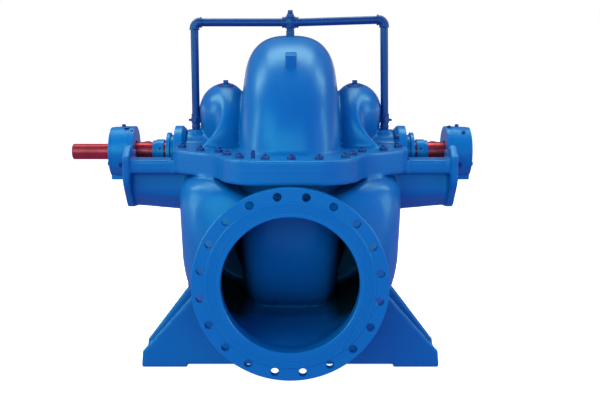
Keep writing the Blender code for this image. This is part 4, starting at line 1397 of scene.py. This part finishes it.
def hexagon_head(origin, direction, width, height, steps=24):
    """A hexagonal head with a turned chamfer: radius a / cos of the angle from the nearest flat."""
    angle = np.arange(steps) * 2 * np.pi / steps
    apothem = width / 2
    hexagon = apothem / np.cos((angle + np.pi / 6) % (np.pi / 3) - np.pi / 6)
    shoulder = height - 0.6 * (hexagon - apothem) - 0.0004
    flat = np.ones(steps)
    radii = np.stack([0 * flat, hexagon, hexagon, 0.94 * apothem * flat, 0 * flat])
    heights = np.stack([0 * flat, 0 * flat, shoulder, height * flat, height * flat])
    return stood_up(radii, heights, angle, origin, direction)


def stood_up(radii, heights, angle, origin, direction):
    """Rings of points, each with its own radii and heights, stood on the origin along a direction."""
    direction, first, second = upright_from(direction)
    points = (
        (radii * np.cos(angle))[..., None] * first
        + (radii * np.sin(angle))[..., None] * second
        + heights[..., None] * direction
    )
    points = points.reshape(-1, 3) + np.array(origin)
    faces = facing(points, sheet_faces(*radii.shape))
    return weld(points, faces)


def nut_on_stud(x, y):
    """A chamfered nut with its washer on the parting flange, and the stud's rounded end above it."""
    sizes = settings("pump_fasteners")
    steps = 24
    angle = np.arange(steps) * 2 * np.pi / steps
    apothem = sizes.width / 2
    turn = 0.35 * math.sin(37 * x + 11 * y)
    hexagon = apothem / np.cos((angle + turn + np.pi / 6) % (np.pi / 3) - np.pi / 6)
    flat = np.ones(steps)
    washer = 1.16 * apothem * flat
    stud = sizes.stud / 2
    top = sizes.height
    rows = [
        (0 * flat, 0 * flat),
        (washer, 0 * flat),
        (washer, 0.0020 * flat),
        (hexagon, 0.0021 * flat),
        (hexagon, top - 0.6 * (hexagon - apothem) - 0.001),
        (0.93 * apothem * flat, top * flat),
        (stud * flat, top * flat),
        (stud * flat, (top + sizes.rise - 0.003) * flat),
        ((stud - 0.003) * flat, (top + sizes.rise) * flat),
        (0 * flat, (top + sizes.rise) * flat),
    ]
    radii = np.stack([row[0] for row in rows])
    heights = np.stack([row[1] for row in rows])
    return stood_up(radii, heights, angle, (x, y, FLANGE_TOP), (0, 0, 1))


def gauge_boss(steps=48):
    """A leaning block: its section's radius at angle a is that of a squarish superellipse,
    (|cos a / half width| ^ 6 + |sin a / half depth| ^ 6) ^ (-1 / 6), with a rounded top edge."""
    angle = (np.arange(steps) + 0.5) * 2 * np.pi / steps
    half_width, half_depth = GAUGE_SIZE
    section = (np.abs(np.cos(angle) / half_width) ** 6 + np.abs(np.sin(angle) / half_depth) ** 6) ** (-1 / 6)
    lean = np.array(GAUGE_TIP) - np.array(GAUGE_ROOT)
    length = np.linalg.norm(lean)
    turn = np.linspace(0, np.pi / 2, 5)[:, None]
    inset = GAUGE_EDGE * (1 - np.cos(turn))
    ring = section[None]
    radii = np.concatenate([0 * ring, ring + 0.002, ring - inset, 0 * ring])
    heights = length - GAUGE_EDGE * (1 - np.sin(turn)) + 0 * ring
    heights = np.concatenate([0 * ring, 0 * ring, heights, length + 0 * ring])
    return stood_up(radii, heights, angle, GAUGE_ROOT, lean)


def add_joined(name, parts, finish, **riding):
    """Several closed shells in one piece."""
    faces = []
    count = 0
    for points, part_faces in parts:
        faces += [[corner + count for corner in face] for face in part_faces]
        count += len(points)
    return add_piece(name, np.concatenate([points for points, _ in parts]), faces, finish, **riding)


class PUMP_OT_studs(bpy.types.Operator):
    """Sets the studs, nuts and dowels round the parting flange, the same at the back."""

    bl_idname = "pump.studs"
    bl_label = "Parting studs"

    def execute(self, context):
        places = [(x, sign * abs(y)) for x, y in STUDS for sign in (-1, 1)]
        add_joined("parting_studs", [nut_on_stud(x, y) for x, y in places], "pipe_enamel")
        dowels = []
        for sign in (-1, 1):
            profile = [(0, 0), (0, 0.0095), (0.032, 0.0095), (0.034, 0.0075), (0.034, 0)]
            points, faces = framed(profile, (sign * -DOWEL[0], sign * -DOWEL[1], FLANGE_TOP), (0, 0, 1))
            dowels.append(weld(points, faces))
        add_joined("dowels", dowels, "pipe_enamel")
        return {"FINISHED"}


class PUMP_OT_plugs(bpy.types.Operator):
    """Screws the plugs into the hoods, the gauge boss, the seal barrels and the lower casing."""

    bl_idname = "pump.plugs"
    bl_label = "Plugs"

    def execute(self, context):
        for tag, side in SIDES.items():
            name = f"hood_plug_{tag}"
            base = np.array((side * SEAT[0], SEAT[1], SEAT[2]))
            disc = [(-0.06, 0), (-0.06, SEAT_RADIUS), (0, SEAT_RADIUS), (0, 0)]
            seat = framed(disc, base + np.array(SEAT_OFFSET), SEAT_LEAN, 48)
            neck = framed([(-0.004, 0), (-0.004, 0.0095), (0.007, 0.0095), (0.007, 0)], base, (0, 0, 1))
            square = np.array((0.0120, 0.0120, 0.0068))
            middle = base + np.array((0, 0, 0.0117))
            head = block(middle - square, middle + square)
            obj = add_joined(f"{name}_square", [weld(*neck), head], "pipe_enamel", stands_for=(name,))
            round_edges(obj, 0.0012)
            # The hood's seat disc takes the dark pipe blue: painted shade on what is a boss of the hood
            # casting
            obj = add_joined(f"hood_seat_{tag}", [weld(*seat)], "pipe_enamel")
            round_edges(obj, 0.0012)
        parts = [
            hexagon_head((0.52, -0.095, 0.08), (0, -0.75, 0.66), 0.02, 0.012),
            hexagon_head((-0.443, -0.536, -0.536), (-0.5, -0.86, 0), 0.030, 0.010),
            hexagon_head((-0.805, -0.0445, 0.1185), (0, -0.35, 0.94), 0.020, 0.010),
            hexagon_head((-0.777, -0.062, 0.1105), (0, -0.49, 0.87), 0.013, 0.006),
            hexagon_head((0.783, -0.030, 0.1235), (0, -0.24, 0.97), 0.016, 0.008),
            hexagon_head((0.848, -0.070, 0.1040), (0, -0.56, 0.83), 0.018, 0.008),
        ]
        for side in SIDES.values():
            parts.append(hexagon_head((side * 0.824, -0.117, -0.050), (0, -0.92, -0.39), 0.022, 0.009))
            parts.append(hexagon_head((side * 0.757, -0.235, 0.030), (0, -0.3, 0.95), 0.020, 0.010))
        add_joined("casing_plugs", parts, "pipe_enamel")
        add_joined("gauge_boss", [gauge_boss()], "casing_enamel_with_passage_shade")
        return {"FINISHED"}


def bend_path(corner_x, corner_z, side):
    """From the level run round a quarter circle into the riser, with a short straight at each end."""
    bend = ELBOW_REACH - ELBOW_LEAD
    angle = np.linspace(0, np.pi / 2, 12)
    xs = corner_x - side * bend * (1 - np.sin(angle))
    zs = corner_z - bend * (1 - np.cos(angle))
    lead_x = corner_x - side * np.array([ELBOW_REACH, ELBOW_REACH - ELBOW_LEAD * 0.98, bend + 0.0001])
    lead_z = corner_z - np.array([bend + 0.0001, ELBOW_REACH - ELBOW_LEAD * 0.02, ELBOW_REACH])
    xs = np.concatenate([lead_x[:2], xs, [corner_x, corner_x]])
    zs = np.concatenate([[corner_z, corner_z], zs, lead_z[1:]])
    return np.stack([xs, 0 * xs, zs], axis=1)


def fitting_distance(x, y, z, step):
    """A malleable cross: two crossed bars with a banded socket at each of their four ends."""
    middle = (CROSS_BOTTOM + CROSS_TOP) / 2
    half = (CROSS_TOP - CROSS_BOTTOM) / 2
    level = np.maximum(round_bar(y, z - middle, 0.0225), np.abs(x) - CROSS_REACH)
    upright = np.maximum(round_bar(x, y, 0.0225), np.abs(z - middle) - half)
    body = smooth_union(level, upright, 0.012)
    band = np.maximum(round_bar(y, z - middle, 0.0265), between(np.abs(x), CROSS_REACH - 0.009, CROSS_REACH))
    collar = np.maximum(round_bar(x, y, 0.0262), between(np.abs(z - middle), half - 0.007, half))
    return smooth_union(smooth_union(body, band, 0.002), collar, 0.002)


class PUMP_OT_flush_piping(bpy.types.Operator):
    """Runs the seal flush line from the cross on the dome to both stuffing boxes."""

    bl_idname = "pump.flush_piping"
    bl_label = "Flush piping"

    def execute(self, context):
        low = (-CROSS_REACH - 0.01, -0.03, CROSS_BOTTOM - 0.01)
        high = (CROSS_REACH + 0.01, 0.03, CROSS_TOP + 0.01)
        points, faces = cast(fitting_distance, low, high, 0.0024)
        add_piece("pipe_cross_cast", points, faces, "pipe_enamel", stands_for=("pipe_cross",), sharp=0)
        self.add_dome_parts()
        for tag, side in SIDES.items():
            self.add_line(tag, side)
        return {"FINISHED"}

    def add_dome_parts(self):
        top = CASE_HIGH.z - DATUM[2]
        nipple = [
            (top - 0.012, 0),
            (top - 0.012, 0.0202),
            (CROSS_BOTTOM - 0.012, 0.0202),
            (CROSS_BOTTOM - 0.010, 0.0185),
            (CROSS_BOTTOM - 0.0005, 0.0185),
            (CROSS_BOTTOM - 0.0005, 0),
        ]
        vent = [
            (CROSS_TOP + 0.0003, 0),
            (CROSS_TOP + 0.0003, 0.0205),
            (CROSS_TOP + 0.008, 0.0205),
            (CROSS_TOP + 0.010, 0.0165),
            (CROSS_TOP + 0.018, 0.0150),
            (CROSS_TOP + 0.019, 0.0130),
            (VENT_TOP - 0.002, 0.0130),
            (VENT_TOP, 0.0115),
            (VENT_TOP, 0),
        ]
        add_turned("dome_nipple_turned", nipple, "pipe_enamel", "Z", steps=32, stands_for=("dome_nipple",))
        add_turned("vent_plug_turned", vent, "pipe_enamel", "Z", steps=8, stands_for=("vent_plug",))

    def add_line(self, tag, side):
        corner_x, corner_z = ELBOWS[tag]
        middle = (CROSS_BOTTOM + CROSS_TOP) / 2
        share = np.linspace(0, 1, 3)[:, None]
        start = np.array([side * (CROSS_REACH - 0.004), 0, middle])
        end = np.array([side * (corner_x - ELBOW_REACH + 0.004), 0, corner_z])
        run = start + (end - start) * share
        top = np.array([side * corner_x, 0, corner_z - ELBOW_REACH + 0.004])
        foot = np.array([side * RISER_X, 0, UNION_TOP - 0.004])
        riser = top + (foot - top) * share
        plain = np.full(3, PIPE_RADIUS)
        add_swept(f"flush_run_{tag}_pipe", run, plain, "pipe_enamel", stands_for=(f"flush_run_{tag}",))
        add_swept(f"flush_riser_{tag}_pipe", riser, plain, "pipe_enamel", stands_for=(f"flush_riser_{tag}",))
        path = bend_path(side * corner_x, corner_z, side)
        radii = np.full(len(path), ELBOW_RADIUS)
        radii[:2] = ELBOW_RADIUS + 0.003
        radii[-2:] = ELBOW_RADIUS + 0.003
        name = f"flush_elbow_{tag}"
        add_swept(f"{name}_cast", path, radii, "pipe_enamel", stands_for=(name,))
        self.add_union(tag, side)

    def add_union(self, tag, side):
        centre = (side * RISER_X, 0, 0)
        union_profile = [(UNION_BOTTOM, 0), (UNION_BOTTOM, 0.0262), (UNION_TOP, 0.0262), (UNION_TOP, 0)]
        nipple = [
            (FLUSH_BOSS[1] - 0.004, 0),
            (FLUSH_BOSS[1] - 0.004, 0.0202),
            (0.119, 0.0202),
            (0.121, 0.0222),
            (0.129, 0.0222),
            (0.131, 0.0202),
            (UNION_BOTTOM - 0.0003, 0.0202),
            (UNION_BOTTOM - 0.0003, 0),
        ]
        band = [
            (UNION_TOP - 0.002, 0),
            (UNION_TOP - 0.002, 0.0225),
            (UNION_TOP + 0.016, 0.0225),
            (UNION_TOP + 0.018, 0.0205),
            (UNION_TOP + 0.018, 0),
        ]
        union_name = f"flush_union_{tag}"
        nipple_name = f"flush_nipple_{tag}"
        add_turned(
            f"{union_name}_hexagon", union_profile, "pipe_enamel", "Z", centre, 6, stands_for=(union_name,)
        )
        add_turned(
            f"{nipple_name}_turned", nipple, "pipe_enamel", "Z", centre, 32, stands_for=(nipple_name,)
        )
        add_turned(f"union_band_{tag}", band, "pipe_enamel", "Z", centre, 32)
        knob_profile = [(0.020, 0), (0.020, 0.006), (0.036, 0.006), (0.036, 0)]
        knob = framed(knob_profile, (side * RISER_X, 0, 0.158), (side, 0, 0))
        add_joined(f"union_knob_{tag}", [weld(*knob)], "pipe_enamel")


class PUMP_OT_stage(bpy.types.Operator):
    """Sets the floor, the lights and the camera."""

    bl_idname = "pump.stage"
    bl_label = "Studio"

    def execute(self, context):
        studio = settings("pump_studio")
        self.add_camera(studio)
        self.add_floor()
        pale = (0.80, 1.0, 0.80)
        cool = (0.30, 1.0, 0.90)
        self.add_light("key", (-3.2, -4.6, 3.6), (3.0, 3.0), studio.key, cool)
        self.add_light("fill", (4.2, -3.0, 2.2), (3.0, 3.0), studio.fill, (0.62, 0.45, 1.0))
        self.add_light("front", (-0.6, -6.4, 2.4), (5.0, 2.6), studio.front, cool)
        self.add_light("left", (-4.6, -1.3, 2.4), (0.9, 2.8), studio.side, pale)
        self.add_light("right", (4.8, -1.3, 2.4), (0.9, 2.8), studio.side * 0.8, pale)
        self.add_light("upper_left", (-3.0, 0.6, 4.4), (1.4, 2.0), studio.side, pale)
        self.add_light("upper_right", (3.2, 0.6, 4.4), (1.4, 2.0), studio.side * 0.8, pale)
        self.add_light("top", (DATUM[0], 1.4, 5.0), (3.6, 1.8), studio.top, pale)
        self.add_surroundings(studio)
        context.scene.view_settings.view_transform = "Standard"
        return {"FINISHED"}

    def add_surroundings(self, studio):
        """A white band at the horizon, between a dim floor and a dark ceiling, by world direction."""
        world = bpy.data.worlds.new("studio_surroundings")
        bpy.context.scene.world = world
        world.use_nodes = True
        tree = world.node_tree
        direction = node(tree, "ShaderNodeTexCoord", {}, {}, output=0)
        front = node(tree, "ShaderNodeSeparateXYZ", {}, {0: direction}, output=1) * -1.0
        height = node(tree, "ShaderNodeSeparateXYZ", {}, {0: direction}, output=2)
        ahead = spread(tree, front, 0.0, 0.6)
        above = blend_colours(tree, ahead, opaque(studio.overhead), opaque(studio.facing))
        band = spread(tree, height, 0.06, 0.09)
        upper = blend_colours(tree, band, opaque((1.0, 1.0, 1.0)), above)
        colour = blend_colours(tree, spread(tree, height, -0.06, -0.05), opaque(studio.below), upper)
        background = tree.nodes["Background"]
        tree.links.new(colour.socket, background.inputs["Color"])
        background.inputs["Strength"].default_value = studio.sky

    def add_camera(self, studio):
        camera = bpy.data.cameras.new("photo_camera")
        camera.lens = studio.lens
        camera.sensor_width = 36.0
        camera.shift_x = studio.shift
        obj = bpy.data.objects.new("photo_camera", camera)
        obj.location = (DATUM[0], -studio.distance, DATUM[2] + studio.height)
        obj.rotation_euler = (math.pi / 2 - studio.pitch, 0, 0)
        bpy.context.scene.collection.objects.link(obj)
        bpy.context.scene.camera = obj

    def add_floor(self):
        corners = np.array([(-40, -40, 0), (40, -40, 0), (40, 40, 0), (-40, 40, 0)], float)
        mesh = bpy.data.meshes.new("floor")
        mesh.from_pydata(corners.tolist(), [], [[0, 1, 2, 3]])
        floor = bpy.data.objects.new("floor", mesh)
        bpy.context.scene.collection.objects.link(floor)
        material = bpy.data.materials.new("pale_floor")
        material.use_nodes = True
        shader = material.node_tree.nodes["Principled BSDF"]
        shader.inputs["Base Color"].default_value = (0.92, 0.92, 0.92, 1.0)
        shader.inputs["Roughness"].default_value = 0.9
        shader.inputs["Emission Color"].default_value = (1.0, 1.0, 1.0, 1.0)
        shader.inputs["Emission Strength"].default_value = 0.95
        mesh.materials.append(material)
        floor.visible_diffuse = False
        floor.visible_glossy = False

    def add_light(self, name, place, size, power, colour):
        """A soft box that faces the pump."""
        light = bpy.data.lights.new(f"{name}_light", "AREA")
        light.shape = "RECTANGLE"
        light.size, light.size_y = size
        light.energy = power
        light.color = colour
        obj = bpy.data.objects.new(f"{name}_light", light)
        obj.visible_camera = False
        obj.location = place
        target = np.array([DATUM[0], 0.0, 0.9]) - np.array(place)
        yaw = math.atan2(target[1], target[0]) - math.pi / 2
        drop = math.atan2(math.hypot(target[0], target[1]), -target[2])
        obj.rotation_euler = (drop, 0, yaw)
        bpy.context.scene.collection.objects.link(obj)


class PUMP_PT_panel(bpy.types.Panel):
    """Lists the pump's pieces, in the order in which they are made."""

    bl_idname = "PUMP_PT_panel"
    bl_label = "Double suction pump"
    bl_space_type = "VIEW_3D"
    bl_region_type = "UI"
    bl_category = "Pump"

    def draw(self, context):
        for operator in OPERATORS:
            self.layout.operator(operator.bl_idname)
        for name, group in GROUPS.items():
            box = self.layout.box()
            for prop in group.__annotations__:
                box.prop(getattr(context.scene, name), prop)


OPERATORS = (
    PUMP_OT_stage,
    PUMP_OT_upper_casing,
    PUMP_OT_lower_casing,
    PUMP_OT_nozzle_flanges,
    PUMP_OT_shaft,
    PUMP_OT_seals,
    PUMP_OT_bearings,
    PUMP_OT_flush_piping,
    PUMP_OT_studs,
    PUMP_OT_plugs,
)
GROUPS = {
    "pump_paint": PumpPaint,
    "pump_casting": PumpCasting,
    "pump_fasteners": PumpFasteners,
    "pump_studio": PumpStudio,
}


def register():
    for group in GROUPS.values():
        bpy.utils.register_class(group)
    for name, group in GROUPS.items():
        setattr(bpy.types.Scene, name, bpy.props.PointerProperty(type=group))
    for operator in OPERATORS:
        bpy.utils.register_class(operator)
    bpy.utils.register_class(PUMP_PT_panel)


def unregister():
    bpy.utils.unregister_class(PUMP_PT_panel)
    for operator in reversed(OPERATORS):
        bpy.utils.unregister_class(operator)
    for name, group in GROUPS.items():
        delattr(bpy.types.Scene, name)
        bpy.utils.unregister_class(group)


def main():
    register()
    for operator in OPERATORS:
        family, name = operator.bl_idname.split(".")
        getattr(getattr(bpy.ops, family), name)()


if __name__ == "__main__":
    main()
